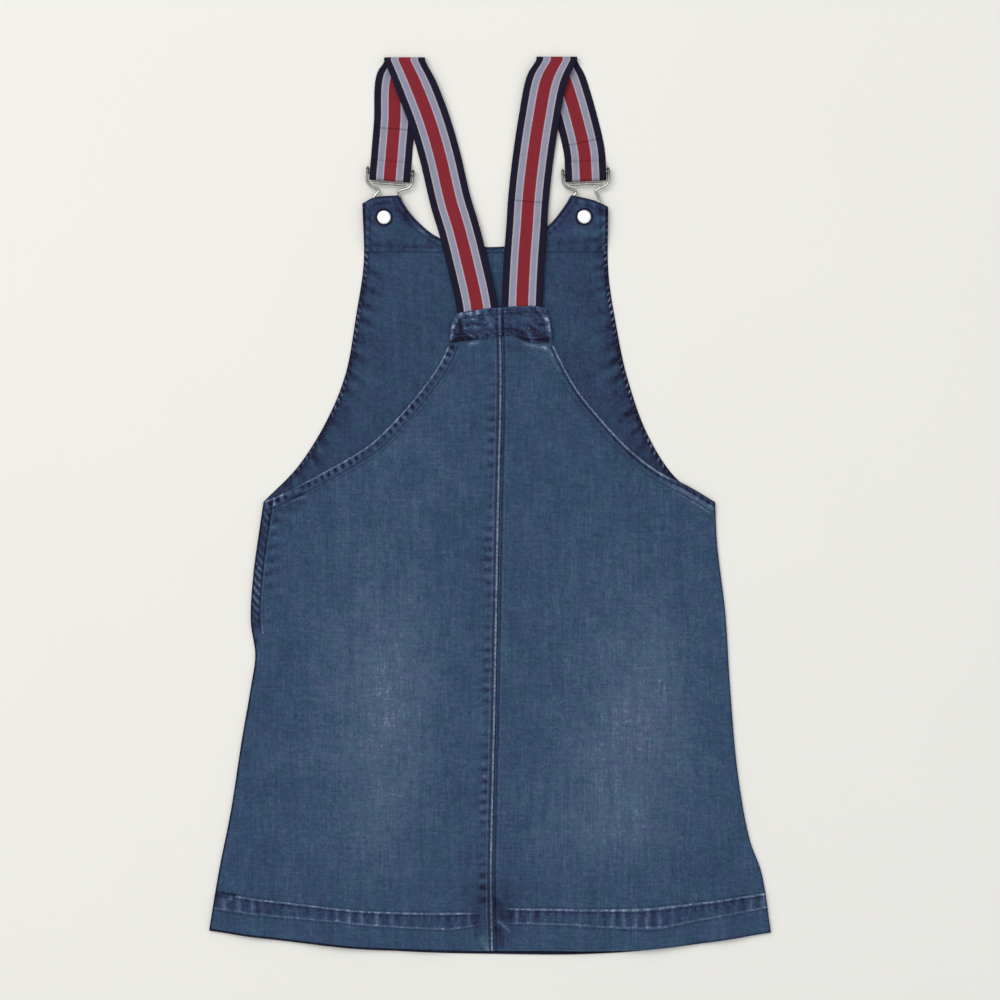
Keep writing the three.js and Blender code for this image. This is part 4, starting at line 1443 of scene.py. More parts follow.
@dataclass
class Facing:
    """Facing inside the top of the bib."""

    front: Front
    columns: int = 170
    rows: int = 44
    grid_size: tuple[float, float] = (180, 40)
    stride: int = 5
    wash: float = 0.385
    ends: tuple[float, float] = (-97.4, 90.2)
    allowance: tuple[float, float] = (14, 14)
    cut_share: float = 1.3
    hem_x: tuple[float, ...] = (-99, -60, 0, 40, 92)
    hem_y: tuple[float, ...] = (202.5, 201.5, 199.5, 203.5, 207)
    # Inner and outer radius of the painted shadow round each tack disc
    ring: tuple[float, float] = (TACK_RADIUS + 0.9, TACK_RADIUS + 2.4)
    foot_waves: Pucker = Pucker(0.5, 4, 9.5, 0.4, 0.14, light=0.09, dark=0.1, beyond=9, run_on=0.5)
    top_waves: Pucker = Pucker(
        0.6, 3.6, 7.6, 1.1, 0.17, light=0.1, dark=0.2, slant=0.8, beyond=8, run_on=0.5, crisp=0.2
    )

    def plan(self) -> np.ndarray:
        """The facing in plan.

        Returns:
            The points of its grid, by column and row.
        """
        width, length = self.grid_size
        u = shares(self.columns, width)
        v = shares(self.rows, length)
        upper = self.front.top(u) * (1 - FACING_NARROW, 1) - (0, FACING_INSET)
        lower = np.column_stack([upper[:, 0], np.full(len(u), FACING_FOOT)])
        left = lower[0] + (upper[0] - lower[0]) * v[:, None]
        right = lower[-1] + (upper[-1] - lower[-1]) * v[:, None]
        return patch(lower, upper, left, right, u, v)

    def surface(self, x: np.ndarray, y: np.ndarray) -> Relief:
        """Heights of the facing, a little puffed above its lower seam.

        Args:
            x: Where the points are along X.
            y: Where they are along Y.

        Returns:
            Its relief at the points.
        """
        to_top, along = reach(self.front.top.line(140), x, y)
        to_sides = np.minimum(x - self.ends[0], self.ends[1] - x)
        lift = horn_lift(x, y) + (WALL + GAP)
        foot = y - FACING_FOOT
        edge = np.minimum(np.clip(to_top - FACING_INSET, 0, None), foot)
        foot_wave, foot_tone, _ = self.foot_waves.draw(foot, x)
        top_wave, top_tone, band = self.top_waves.draw(np.minimum(to_top - FACING_INSET, to_sides), along + y)
        crease, crease_tone = creased(FRONT_CREASES, x, y)
        over = lift + FACING + foot_wave + top_wave + crease
        horns = smooth(212, 232, y)
        wash = self.wash + foot_tone * smooth(-90, -80, x) + top_tone + crease_tone - 0.025 * horns
        # Painted shadow: a dark ring round each tack disc, where it stands on the cloth
        ring = np.zeros(np.shape(x))
        for button_x, button_y in BUTTONS.values():
            ring = np.maximum(ring, 1 - smooth(*self.ring, np.hypot(x - button_x, y - button_y)))
        marks = {
            "wash": wash - 0.4 * ring,
            "fade": 0.03 * horns,
            "worn": 0.15 + 0.2 * band + 0.4 * horns,
            "edge": np.minimum(to_top, to_sides + FACING_INSET),
            "foot": foot,
            "line": y - np.interp(x, self.hem_x, self.hem_y),
        }
        return Relief(lift, over, marks).rounded(edge, 0.9)

    def build(self) -> None:
        """Build the facing, dress it and hide the solid that it replaces."""
        plan = self.plan()
        piece = shell("facing", plan, self.surface(plan[..., 0], plan[..., 1]), self.stride)
        lines = (
            SeamLine("foot", 0.4, 0.8, 0.03, 0.8),
            SeamLine("line", 0, 1.6, -0.09, 0.9),
            SeamLine("line", 5.0, 2.4, 0.04, 0.8),
            # Dark line at the facing's edge, where it steps down onto the front: painted shade
            SeamLine("edge", FACING_INSET, 0.7, -0.3, 0.3),
            SeamLine("edge", 3.0, 1.0, 0.07, 1.0),
            SeamLine("edge", 5.8, 0.8, -0.12, 0.6),
        )
        settle(piece, Slot.INSIDE, Denim("facing_inside", lines=lines).make(), "bib_facing")
        area = plan_area(plan) * self.cut_share


@dataclass
class BackPanel:
    """One half of the back, with its turned hem and armhole."""

    side: Side
    columns: int = 184
    rows: int = 372
    grid_size: tuple[float, float] = (190, 400)
    stride: int = 6
    wash: float = 0.475
    allowance: tuple[float, float] = (22, 44)
    cut_share: float = 1.14
    rungs: Pucker = Pucker(0.6, 11.6, 10.0, 0.3, 0.3, light=0.25, dark=0.12, beyond=7, run_on=0.2, crisp=0.4)
    squares: Pucker = Pucker(6.5, 11.2, 6.4, 1.1, 0.1, light=0.05, dark=0.17, beyond=1, run_on=0.0)
    armhole: Pucker = Pucker(1.5, 5.1, 6.3, 2.2, 0.3, light=0.26, dark=0.48, beyond=9, run_on=0.15)
    dashes: Pucker = Pucker(
        4.4, 9.8, 8.5, 1.4, 0.24, light=0.12, dark=0.28, beyond=5, run_on=0.25, crisp=0.35
    )
    ticks: Pucker = Pucker(1.6, 3.6, 8.5, 1.9, 0.05, light=0.26, dark=0.0, beyond=0.5, run_on=0, crisp=0.5)
    strip: Pucker = Pucker(
        0.4, 6.6, 6.6, 0.5, 0.34, light=0.6, dark=0.16, slant=1.1, beyond=2, run_on=0, crisp=0.2
    )
    blisters: Pucker = Pucker(
        9.5, 15, 10.5, 2.6, 0.34, light=0.06, dark=0.16, slant=-0.3, beyond=12, run_on=0.4
    )

    def __post_init__(self) -> None:
        """Lay out the edges."""
        left = self.side is Side.LEFT
        self.apart = np.array((-GAP / 2 if left else GAP / 2, 0))
        self.hem = Edge(HEM_OF_BACK)
        self.middle = Edge(CENTRE_BACK)
        self.outer = Edge(SIDES[self.side])
        end = self.middle(1.0) + self.apart
        self.upper = Edge([*ARMHOLES[self.side], (*end, 1)])
        half = np.linspace(0, 0.5, 90) if left else np.linspace(0.5, 1, 90)
        self.hem_line = self.hem(half)
        self.seam_line = self.middle.line(120) + self.apart
        self.side_line = self.outer.line(90)
        self.armhole_line = Edge(ARMHOLES[self.side][:-1]).line(120)

    def plan(self) -> np.ndarray:
        """The panel in plan.

        Returns:
            The points of its grid, by column and row.
        """
        width, length = self.grid_size
        u = shares(self.columns, width)
        v = shares(self.rows, length)
        seam = self.middle(v) + self.apart
        outer = self.outer(v)
        if self.side is Side.LEFT:
            bottom = self.hem(u / 2) + self.apart * u[:, None]
            return patch(bottom, self.upper(u), outer, seam, u, v)
        bottom = self.hem(0.5 + u / 2) + self.apart * (1 - u)[:, None]
        return patch(bottom, self.upper(1 - u), seam, outer, u, v)

    def folds(self, x: np.ndarray, y: np.ndarray) -> np.ndarray:
        """Height of the soft folds.

        Args:
            x: Where the points are along X.
            y: Where they are along Y.

        Returns:
            Their height at each point.
        """
        height = np.zeros(np.shape(x))
        for fold in BACK_FOLDS:
            way = np.subtract(fold.head, fold.foot)
            length = float(np.hypot(*way))
            share = ((x - fold.foot[0]) * way[0] + (y - fold.foot[1]) * way[1]) / length**2
            aside = np.abs((x - fold.foot[0]) * way[1] - (y - fold.foot[1]) * way[0]) / length
            height += fold.rise * (1 - smooth(*FOLD_HEAD, share)) * (1 - smooth(0, fold.width, aside))
        return height

    def hem_depth(self, x: np.ndarray) -> np.ndarray:
        """How deep the turned hem is.

        Args:
            x: Where the points are along X.

        Returns:
            Its depth at each point.
        """
        ends = (self.hem_line[0, 0], self.hem_line[-1, 0])
        centre, outer = HEM_DEPTHS[self.side]
        return np.interp(x, ends, (outer, centre) if self.side is Side.LEFT else (centre, outer))

    def surface(self, x: np.ndarray, y: np.ndarray) -> Relief:
        """Heights of the panel with its folds, felled seams and drawn up stitching.

        Args:
            x: Where the points are along X.
            y: Where they are along Y.

        Returns:
            Its relief at the points.
        """
        left = float(self.side is Side.LEFT)
        to_side, side_way = reach(self.side_line, x, y)
        to_arm, arm_way = reach(self.armhole_line, x, y)
        to_hem, _ = reach(self.hem_line, x, y)
        to_seam, seam_way = reach(self.seam_line, x, y)
        settled = smooth(*SETTLED_AT_SIDE, to_side) * smooth(*SETTLED_AT_ARMHOLE, to_arm)
        settled = settled * (1 - smooth(*FOLDS_END, y))
        under = WALL + GAP + self.folds(x, y) * settled
        plain = 1 - smooth(*BACK_SEAMS_END, y)
        on_strip = left * smooth(*STRIP_STARTS, y) * (1 - smooth(*STRIP_ENDS, y))

        def band(distance: np.ndarray, width: Number) -> np.ndarray:
            """1 on a band along an edge and 0 beyond it."""
            return 1 - smooth(0, SEAM_STEP, distance - width)

        depth = self.hem_depth(x)
        lower_line = np.interp(x, HEM_LINE_X, HEM_LINE_Y)
        in_hem = (to_hem - lower_line) / (depth - lower_line) * HEM_BAND
        hem = band(to_hem, depth)
        arm = band(to_arm, FELL_WIDTH) * plain
        fell = band(to_seam, FELL_WIDTH) * plain * left
        strip = band(to_side, FELL_WIDTH - 1) * on_strip
        rise = SEAM_RISE * np.max([hem, arm, fell, strip], axis=0)
        off_seam = smooth(8, 14, to_seam)
        on_arm = smooth(105, 150, x) * (1 - left) * 0.4 + left
        drawn = (
            (self.rungs, in_hem, x, off_seam),
            (self.squares, in_hem, x, off_seam),
            (self.armhole, to_arm, arm_way, on_arm * (1 - smooth(122, 130, y))),
            (self.dashes, to_seam, seam_way, left * plain * smooth(32, 44, to_hem)),
            (self.ticks, to_seam, seam_way, left * plain),
            (self.strip, to_side, side_way, on_strip),
            (self.blisters, to_side, side_way, on_strip * (1 - smooth(-14, -4, y))),
        )
        crease, tone = creased(BACK_CREASES[self.side], x, y)
        relief = crease
        bands = np.zeros(np.shape(x))
        for waves, distance, along, share in drawn:
            wave, wave_tone, inside = waves.draw(distance, along)
            relief = relief + wave * share
            tone = tone + wave_tone * share
            bands = np.maximum(bands, inside * share)
        fade = self.faded(x, y)
        wash = self.wash + fade + tone
        wash = wash - 0.05 * bands * smooth(0, 1, hem + arm) - 0.2 * strip - 0.03 * arm * left
        outline = np.min([to_side, to_arm, to_hem, to_seam], axis=0)
        wide = smooth(132, 152, x)
        marks = {
            "wash": wash,
            "fade": fade * 0.6,
            "worn": 0.12 + 0.6 * bands,
            "hem": to_hem,
            "line": in_hem,
            "seam": to_seam,
            "arm": to_arm + NO_SEAM * (y > 125),
            "side": to_side + NO_SEAM * (y < STRIP_STARTS[0]),
            "outline": to_side,
            "off_seam": off_seam,
            "lit": smooth(-30, -8, x) * (1 - smooth(120, 165, x)),
            "off_lit": 0.3 + 0.7 * (1 - smooth(-60, -20, x)),
            "wide": wide,
            "narrow": 1 - wide,
            "by_tab": smooth(80, 108, y),
        }
        return Relief(under, under + WALL + rise + relief, marks).rounded(outline)

    def faded(self, x: np.ndarray, y: np.ndarray) -> np.ndarray:
        """How much lighter the cloth has washed in its soft patches.

        Args:
            x: Where the points are along X.
            y: Where they are along Y.

        Returns:
            The change of tone at each point.
        """
        light = np.zeros(np.shape(x))
        for fade in BACK_FADES:
            away = ((x - fade.x) / fade.across) ** 2 + ((y - fade.y) / fade.along) ** 2
            light += fade.amount * np.exp(-away)
        return light

    def finish(self) -> Denim:
        """The panel's denim with the lines of its seams.

        Returns:
            The finish.
        """
        hem = (
            SeamLine("line", HEM_BAND, 0.9, 0.3, 0.8, "off_seam"),
            SeamLine("line", HEM_BAND + 1.6, 0.9, -0.1, 0.9, "off_seam"),
            SeamLine("line", HEM_BAND - HEM_ROW, 0.8, -0.14, 0.8, "off_seam"),
            SeamLine("line", 0.3, 0.9, 0.2, 0.9, "off_seam"),
            SeamLine("line", -1.5, 0.9, -0.12, 0.8, "off_seam"),
            SeamLine("hem", 0.9, 0.7, 0.3, 0.5, "lit"),
            # Dark line along the hem's lower edge: painted shadow, over the edge's own darker tone
            SeamLine("hem", 0.5, 1.5, -0.62, 0.55, "off_lit"),
        )
        if self.side is Side.LEFT:
            more = (
                SeamLine("seam", 1.0, 0.85, 0.36, 0.35),
                SeamLine("seam", FELL_ROW, 0.7, -0.30, 0.5),
                SeamLine("seam", INNER_FELL_ROW, 0.6, 0.07, 1.0),
                SeamLine("arm", 0.7, 0.75, 0.34, 0.35),
                SeamLine("arm", ARMHOLE_ROW, 0.7, -0.13, 0.6),
                SeamLine("arm", 8.9, 0.7, 0.08, 0.6),
                SeamLine("side", 8.4, 0.7, 0.26, 0.6),
                SeamLine("side", 7.0, 0.9, -0.14, 0.6),
                # Dark line along the side edge: painted edge shade
                SeamLine("outline", 0.4, 1.2, -0.46, 0.5),
            )
        else:
            more = (
                SeamLine("seam", 1.7, 0.95, -0.26, 0.3),
                SeamLine("seam", 3.7, 0.6, 0.07, 0.6),
                SeamLine("arm", 0.9, 0.95, 0.34, 0.25, "narrow"),
                SeamLine("arm", 0.7, 1.2, -0.22, 0.5, "wide"),
                SeamLine("arm", 2.9, 0.9, -0.32, 0.4),
                SeamLine("arm", 5.5, 2.8, -0.07, 0.4),
                SeamLine("arm", 5.2, 3.0, 0.16, 0.7, "by_tab"),
                SeamLine("arm", 7.8, 0.8, -0.14, 0.6, "wide"),
                SeamLine("arm", 9.2, 0.8, 0.12, 0.8, "wide"),
                # Dark line along the side edge: painted edge shade
                SeamLine("outline", 0.3, 0.9, -0.2, 0.5),
                SeamLine("arm", 5.4, 1.9, 0.17, 0.6, "wide"),
            )
        return Denim(f"denim_{self.side.value}", lines=hem + more)

    def build(self) -> None:
        """Build the panel, dress it and hide the solid that it replaces."""
        plan = self.plan()
        relief = self.surface(plan[..., 0], plan[..., 1])
        piece = shell(f"back_{self.side.value}_cloth", plan, relief, self.stride)
        settle(piece, Slot.DENIM, self.finish().make(), f"back_{self.side.value}")
        area = plan_area(plan) * self.cut_share

    def sew(self) -> bpy.types.Object:
        """Sew the hem, the armhole and, on the left, the fell of the middle seam.

        Returns:
            The stitches.
        """
        inward = 1 if self.side is Side.RIGHT else -1
        depths = self.hem_depth(self.hem_line[:, 0])
        upper = beside(self.hem_line, depths - HEM_ROW)
        rows = [shortened(upper, 1, 12) if self.side is Side.LEFT else shortened(upper, 12, 1)]
        rows.append(shortened(beside(self.armhole_line, inward * ARMHOLE_ROW), 4, 4))
        if self.side is Side.LEFT:
            rows.append(shortened(beside(self.seam_line, FELL_ROW), *ROW_ENDS))
        return Thread().sew(f"back_{self.side.value}_stitches", rows, self.surface)

    def sew_fell(self) -> bpy.types.Object:
        """Sew the inner row of the middle seam, whose thread has worn pale."""
        row = shortened(beside(self.seam_line, INNER_FELL_ROW), *ROW_ENDS)
        return Thread().sew("fell_stitches", [row], self.surface)


@dataclass
class Tab:
    """Tab over the ends of both straps."""

    columns: int = 120
    rows: int = 48
    grid_size: tuple[float, float] = (76, 26)
    stride: int = 5
    drop: float = 0.7
    drop_width: float = 2
    drop_ends: tuple[float, float] = (130, 137)
    foot_width: float = 3.5
    inset: float = 5.2
    groove_half: float = 1.6
    groove_depth: float = 0.25
    crease_tone: float = 1.6
    wash: float = 0.38
    allowance: tuple[float, float] = (14, 14)
    cut_share: float = 1.3
    rim: Pucker = Pucker(0.6, 4.6, 7.0, 0.8, 0.16, light=0.16, dark=0.16, slant=0.6, beyond=4, run_on=0.3)

    def __post_init__(self) -> None:
        """Lay out the edges."""
        self.bottom = Edge(TAB_BOTTOM)
        self.top = Edge(TAB_TOP)
        self.sides = {side: Edge(rows) for side, rows in TAB_SIDES.items()}

    def plan(self) -> np.ndarray:
        """The tab in plan.

        Returns:
            The points of its grid, by column and row.
        """
        width, length = self.grid_size
        u = shares(self.columns, width)
        v = shares(self.rows, length)
        left = self.sides[Side.LEFT](v)
        right = self.sides[Side.RIGHT](v)
        return patch(self.bottom(u), self.top(u), left, right, u, v)

    def surface(self, x: np.ndarray, y: np.ndarray) -> Relief:
        """Heights of the tab: it drops to the panels along its foot and swells over the straps.

        Args:
            x: Where the points are along X.
            y: Where they are along Y.

        Returns:
            Its relief at the points.
        """
        on_panels = 2 * (WALL + GAP)
        on_straps = on_panels + TAPE + GAP
        to_bottom, _ = reach(self.bottom.line(), x, y)
        to_top, _ = reach(self.top.line(), x, y)
        aside = np.min([reach(edge.line(40), x, y)[0] for edge in self.sides.values()], axis=0)
        level = on_panels + (on_straps - on_panels) * smooth(0, self.foot_width, to_bottom)
        dropped = self.drop * (1 - smooth(0, self.drop_width, aside)) * (1 - smooth(*self.drop_ends, y))
        under = np.maximum(on_panels, level - dropped)
        edge = np.min([to_bottom, to_top, aside], axis=0)
        groove = 1 - smooth(0, self.groove_half, np.abs(edge - self.inset))
        wave, wave_tone, band = self.rim.draw(edge, x + y)
        crease, tone = creased(TAB_CREASES, x, y)
        over = under + WALL - self.groove_depth * groove + wave + crease
        wash = self.wash + wave_tone + self.crease_tone * tone
        wash = wash + 0.05 * pucker(x + 2 * y, 13, 0.2) * (1 - band)
        fade = np.full(np.shape(x), 0.12)
        marks = {"wash": wash, "fade": fade, "worn": 1.0 + 0.4 * band, "edge": edge}
        return Relief(under, over, marks).rounded(edge)

    def build(self) -> None:
        """Build the tab, dress it and hide the solid that it replaces."""
        plan = self.plan()
        piece = shell("tab", plan, self.surface(plan[..., 0], plan[..., 1]), self.stride)
        lines = (SeamLine("edge", self.inset, 0.8, -0.12, 0.7), SeamLine("edge", 0.9, 0.8, 0.12, 1.0))
        cloth = Denim("tab_denim", grain=0.16, mottle=0.11, fleck=0.4, blotch=0.15, lines=lines)
        settle(piece, Slot.DENIM, cloth.make(), "back_tab")
        area = plan_area(plan) * self.cut_share

    def sew(self) -> bpy.types.Object:
        """Sew round the tab inside its edges.

        Returns:
            The stitches.
        """
        v = np.linspace(0, 1, 60)
        lower, right = self.bottom(v)[:-1], self.sides[Side.RIGHT](v)[:-1]
        upper, left = self.top(v[::-1])[:-1], self.sides[Side.LEFT](v[::-1])
        plan = np.vstack([lower, right, upper, left])
        centre = plan.mean(0)
        half = np.ptp(plan, axis=0) / 2
        ring = centre + (plan - centre) * (1 - self.inset / half)
        return Thread(pitch=2.9).sew("tab_stitches", [ring], self.surface)


@dataclass(frozen=True)
class StrapRoute:
    """Middle line of a strap: up from the tab to the fold, and down from the fold to the bar."""

    upper: tuple[Row, ...]
    fold: tuple[float, float]
    lower: tuple[Row, ...]
    end: tuple[float, float]
    upper_creases: tuple[float, ...]
    lower_creases: tuple[float, ...]


ROUTES = {
    Side.LEFT: StrapRoute(
        upper=(
            (-9.6, 139, 3.65), (-9.9, 153, 3.65), (-19, 195, 4), (-25, 218, 4.5), (-30.5, 236, 3.4),
            (-39.5, 274, 2.5), (-48, 302, 3.6), (-59, 330, 4.9),
        ),
        fold=(-66.5, 346.2),
        lower=((-73.2, 331, 0.68), (-74.5, 300, 0.68), (-76.5, 275, 0.75)),
        end=(-78, 255),
        upper_creases=(),
        lower_creases=(293.5,),
    ),
    Side.RIGHT: StrapRoute(
        upper=(
            (25, 138, 3.65), (25, 155, 3.65), (26.8, 193, 4), (28.6, 217, 4.6), (30, 238, 3.4),
            (33, 266, 2.5), (38, 300, 3.6), (44.5, 332, 4.9),
        ),
        fold=(52, 346.7),
        lower=((59, 330, 0.68), (68, 300, 0.68), (73.6, 275, 0.75)),
        end=(74.6, 255),
        upper_creases=(236.6,),
        lower_creases=(283.0,),
    ),
}


@dataclass
class Sections:
    """Places along a tape: its middle, the way across it and the way along it."""

    centre: np.ndarray
    across: np.ndarray
    tangent: np.ndarray


@dataclass
class Strap:
    """A strap of woven tape, folded at its top and turned round the bar of its buckle."""

    side: Side
    step: float = 1.6
    across_steps: int = 22
    level_from: float = 0.82
    level_until: float = 0.28
    turned_end: tuple[Row, ...] = ((0, 0), (5.8, 0), (10, 2.1), (13, 2.6))

    def run(self, rows: Sequence[Row], direction: int) -> Sections:
        """A stretch of tape along a smooth line.

        Args:
            rows: The points of its middle line.
            direction: 1, or -1 where the tape lies face down.

        Returns:
            Its sections.
        """
        line = spline(np.array(rows, float))
        length = travelled(line)[-1]
        centre = evenly(line, np.linspace(0, length, round(length / self.step) + 1))
        tangent = np.gradient(centre, axis=0)
        tangent /= np.linalg.norm(tangent, axis=1, keepdims=True)
        across = direction * np.column_stack([tangent[:, 1], -tangent[:, 0], np.zeros(len(centre))])
        across /= np.linalg.norm(across, axis=1, keepdims=True)
        return Sections(centre, across, tangent)

    @staticmethod
    def level(sections: Sections, share: np.ndarray) -> None:
        """Turn the tape across X by a share at each section."""
        mixed = sections.across * (1 - share)[:, None] + np.array((1.0, 0, 0)) * share[:, None]
        sections.across = mixed / np.linalg.norm(mixed, axis=1, keepdims=True)

    @staticmethod
    def turn(centre: np.ndarray, radius: float, heading: np.ndarray, start: float, end: float) -> Sections:
        """A half turn of the tape round a level line that lies square to a heading.

        Args:
            centre: The point of the line at the middle of the tape's width.
            radius: The radius of the turn at the middle of the tape's thickness.
            heading: The way that the tape runs where it lies on top.
            start: Where the turn starts, as an angle from straight up.
            end: Where it ends.

        Returns:
            The sections of the turn.
        """
        angle = np.linspace(start, end, 18)[1:-1, None]
        up = np.array((0.0, 0, 1))
        points = centre + radius * (heading * np.sin(angle) + up * np.cos(angle))
        tangent = heading * np.cos(angle) - up * np.sin(angle)
        across = np.tile((heading[1], -heading[0], 0.0), (len(points), 1))
        return Sections(points, across, tangent)

    def sections(self) -> tuple[Sections, np.ndarray]:
        """All sections of the strap, and the heading of its end.

        Returns:
            The sections from the tab to the turned end, and the heading.
        """
        route = ROUTES[self.side]
        low = TAPE / 2
        bar_turn = WIRE_RADIUS + GAP + TAPE / 2
        up = self.run([*route.upper, (*route.fold, low + 2 * FOLD_RADIUS)], 1)
        share = np.linspace(0, 1, len(up.centre))
        self.level(up, smooth(self.level_from, 1, share))
        down = self.run([(*route.fold, low), *route.lower, (*route.end, BAR_HEIGHT - bar_turn)], -1)
        share = np.linspace(0, 1, len(down.centre))
        self.level(down, 1 - smooth(0, self.level_until, share))
        fold_centre = np.array((*route.fold, low + FOLD_RADIUS))
        top = self.turn(fold_centre, FOLD_RADIUS, np.array((0.0, 1, 0)), 0, math.pi)
        across = down.across[-1]
        heading = np.array((-across[1], across[0], 0))
        end_centre = np.array((*route.end, BAR_HEIGHT))
        bottom = self.turn(end_centre, bar_turn, heading, math.pi, 2 * math.pi)
        level = BAR_HEIGHT + bar_turn
        rows = [(*(end_centre + heading * along)[:2], level - drop) for along, drop in self.turned_end]
        parts = [up, top, down, bottom, self.run(rows, 1)]
        joined = Sections(
            np.vstack([part.centre for part in parts]),
            np.vstack([part.across for part in parts]),
            np.vstack([part.tangent for part in parts]),
        )
        return joined, heading

    def creases(self, y: np.ndarray, far: np.ndarray) -> tuple[float, ...]:
        """Where the tape's creases are along it.

        Args:
            y: Where its sections are along Y.
            far: How far along the tape they are.

        Returns:
            The places, on the way up to the fold and on the way down from it.
        """
        fold = int(np.argmax(y))
        bar = fold + int(np.argmin(y[fold:]))
        route = ROUTES[self.side]
        rising = [float(np.interp(at, y[:fold], far[:fold])) for at in route.upper_creases]
        falling = [float(np.interp(-at, -y[fold:bar], far[fold:bar])) for at in route.lower_creases]
        return (*rising, *falling)

    def profile(self) -> np.ndarray:
        """The tape's section: across and up, with round selvedges.

        Returns:
            Its points, all the way round.
        """
        radius = TAPE / 2
        flat = np.linspace(-1, 1, self.across_steps) * (TAPE_WIDTH / 2 - radius)
        angle = np.linspace(math.pi / 2, -math.pi / 2, 6)[1:-1]
        tip = TAPE_WIDTH / 2 - radius
        right = np.column_stack([tip + radius * np.cos(angle), radius * np.sin(angle)])
        over = np.column_stack([flat, np.full(len(flat), radius)])
        return np.vstack([over, right, over[::-1] * (1, -1), right[::-1] * (-1, 1)])

    def build(self) -> np.ndarray:
        """Build the strap, dress its tape and give the heading of its end.

        Returns:
            The heading.
        """
        sections, heading = self.sections()
        profile = self.profile()
        normal = np.cross(sections.across, sections.tangent)
        normal /= np.linalg.norm(normal, axis=1, keepdims=True)
        flat = sections.centre[:, None] + sections.across[:, None] * profile[:, :1]
        points = flat + normal[:, None] * profile[:, 1:]
        count, sides = points.shape[:2]
        index = np.arange(count * sides).reshape(count, sides)
        after = np.roll(index, -1, axis=1)
        faces = np.stack([index[:-1], index[1:], after[1:], after[:-1]], -1).reshape(-1, 4).tolist()
        faces += [index[0].tolist(), index[-1][::-1].tolist()]
        far = travelled(sections.centre)
        marks = {"across": np.tile(profile[:, 0] / (TAPE_WIDTH / 2), count), "along": np.repeat(far, sides)}
        piece = add_mesh(f"strap_{self.side.value}_tape", points.reshape(-1, 3), faces, marks)
        finish = TapeFinish(f"tape_{self.side.value}", creases=self.creases(sections.centre[:, 1], far))
        settle(piece, Slot.TAPE, finish.make(), f"strap_{self.side.value}")
        return heading


@dataclass
class Buckle:
    """Wire hook on a bar that the tape is turned round, with a cross bar between its shoulders."""

    side: Side
    heading: np.ndarray
    bar_offset: float = 4.4
    bar_end: float = 1.3
    cross_half: float = 12.8
    cross_y: float = -9.2
    cross_z: float = 4.7
    bar_points: int = 60
    cross_points: int = 121
    joint_half: float = 0.02
    joint_depth: float = 0.25
    hook_height: float = 3.95
    dull: float = 11.5
    half_hook: tuple[Row, ...] = (
        (17.8, -3, 5.5), (17.7, -7.5, 5), (15.4, -11, 4.6), (10, -13.2, 4.3), (7.6, -15, 4.1),
        (9.8, -19, 4), (11, -24, 4), (7, -30, 4),
    )
    eye_degrees: tuple[float, ...] = (-115, -75, -35, 5, 45, 85)
    slot_degrees: tuple[float, ...] = (0, 35, 70)

    def place(self, rows: np.ndarray) -> np.ndarray:
        """Turn points from the buckle's own frame into the frame of the dress.

        Args:
            rows: The points, with X along the bar and Y along the heading.

        Returns:
            The points in the frame of the dress.
        """
        end = np.array((*ROUTES[self.side].end, 0))
        across = np.array((self.heading[1], -self.heading[0], 0))
        bar = end + self.heading * self.bar_offset
        return bar + rows[:, :1] * across + rows[:, 1:2] * self.heading + rows[:, 2:] * (0, 0, 1)

    def hook(self) -> np.ndarray:
        """The middle line of the hook's wire.

        Returns:
            Its points, from one end of the wire to the other.
        """
        eye_x = self.half_hook[0][0]
        end = np.array((*ROUTES[self.side].end, 0)) + self.heading * self.bar_offset
        to_button = np.array(BUTTONS[self.side]) - end[:2]
        shift = float(to_button @ np.array((self.heading[1], -self.heading[0])))
        drop = float(to_button @ self.heading[:2])
        eyes = np.radians(self.eye_degrees)
        half = [(eye_x, EYE_RADIUS * math.cos(a), BAR_HEIGHT + EYE_RADIUS * math.sin(a)) for a in eyes]
        half += list(self.half_hook)
        slot = SHANK_RADIUS + GAP + WIRE_RADIUS
        bends = np.radians(self.slot_degrees)
        half += [(slot * math.cos(a), drop - slot * math.sin(a), self.hook_height) for a in bends]
        rows = np.array(half)
        lean = np.zeros(rows.shape)
        share = np.clip((rows[:, 1] - self.cross_y) / (drop - self.cross_y), 0, 1)
        lean[:, 0] = shift * share * share * (3 - 2 * share)
        return self.place(np.vstack([rows * (-1, 1, 1) + lean, (rows + lean)[::-1]]))

    def build(self, nickel: bpy.types.Material) -> None:
        """Build the hook, the bar and the cross bar.

        Args:
            nickel: Their finish.
        """
        name = self.side.value
        line, radius = round_ends(spline(self.hook(), 14), WIRE_RADIUS)
        settle(tube(f"hook_{name}_wire", line, radius, self.dull), Slot.NICKEL, nickel, f"hook_{name}")
        eye_x = self.half_hook[0][0]
        half = eye_x + self.bar_end - WIRE_RADIUS
        across = np.linspace(-half, half, self.bar_points)
        bar = np.column_stack([across, 0 * across, np.full(self.bar_points, BAR_HEIGHT)])
        line, radius = round_ends(self.place(bar), WIRE_RADIUS)
        settle(tube(f"bar_{name}_wire", line, radius), Slot.NICKEL, nickel, f"bar_{name}")
        half = self.cross_half - WIRE_RADIUS
        across = np.linspace(-half, half, self.cross_points)
        level = (np.full(self.cross_points, self.cross_y), np.full(self.cross_points, self.cross_z))
        line, radius = round_ends(self.place(np.column_stack([across, *level])), WIRE_RADIUS)
        joint = np.exp(-((np.linspace(-1, 1, len(radius)) / self.joint_half) ** 2))
        cross = tube(f"cross_{name}_wire", line, radius * (1 - self.joint_depth * joint))
        settle(cross, Slot.NICKEL, nickel, f"slide_{name}")


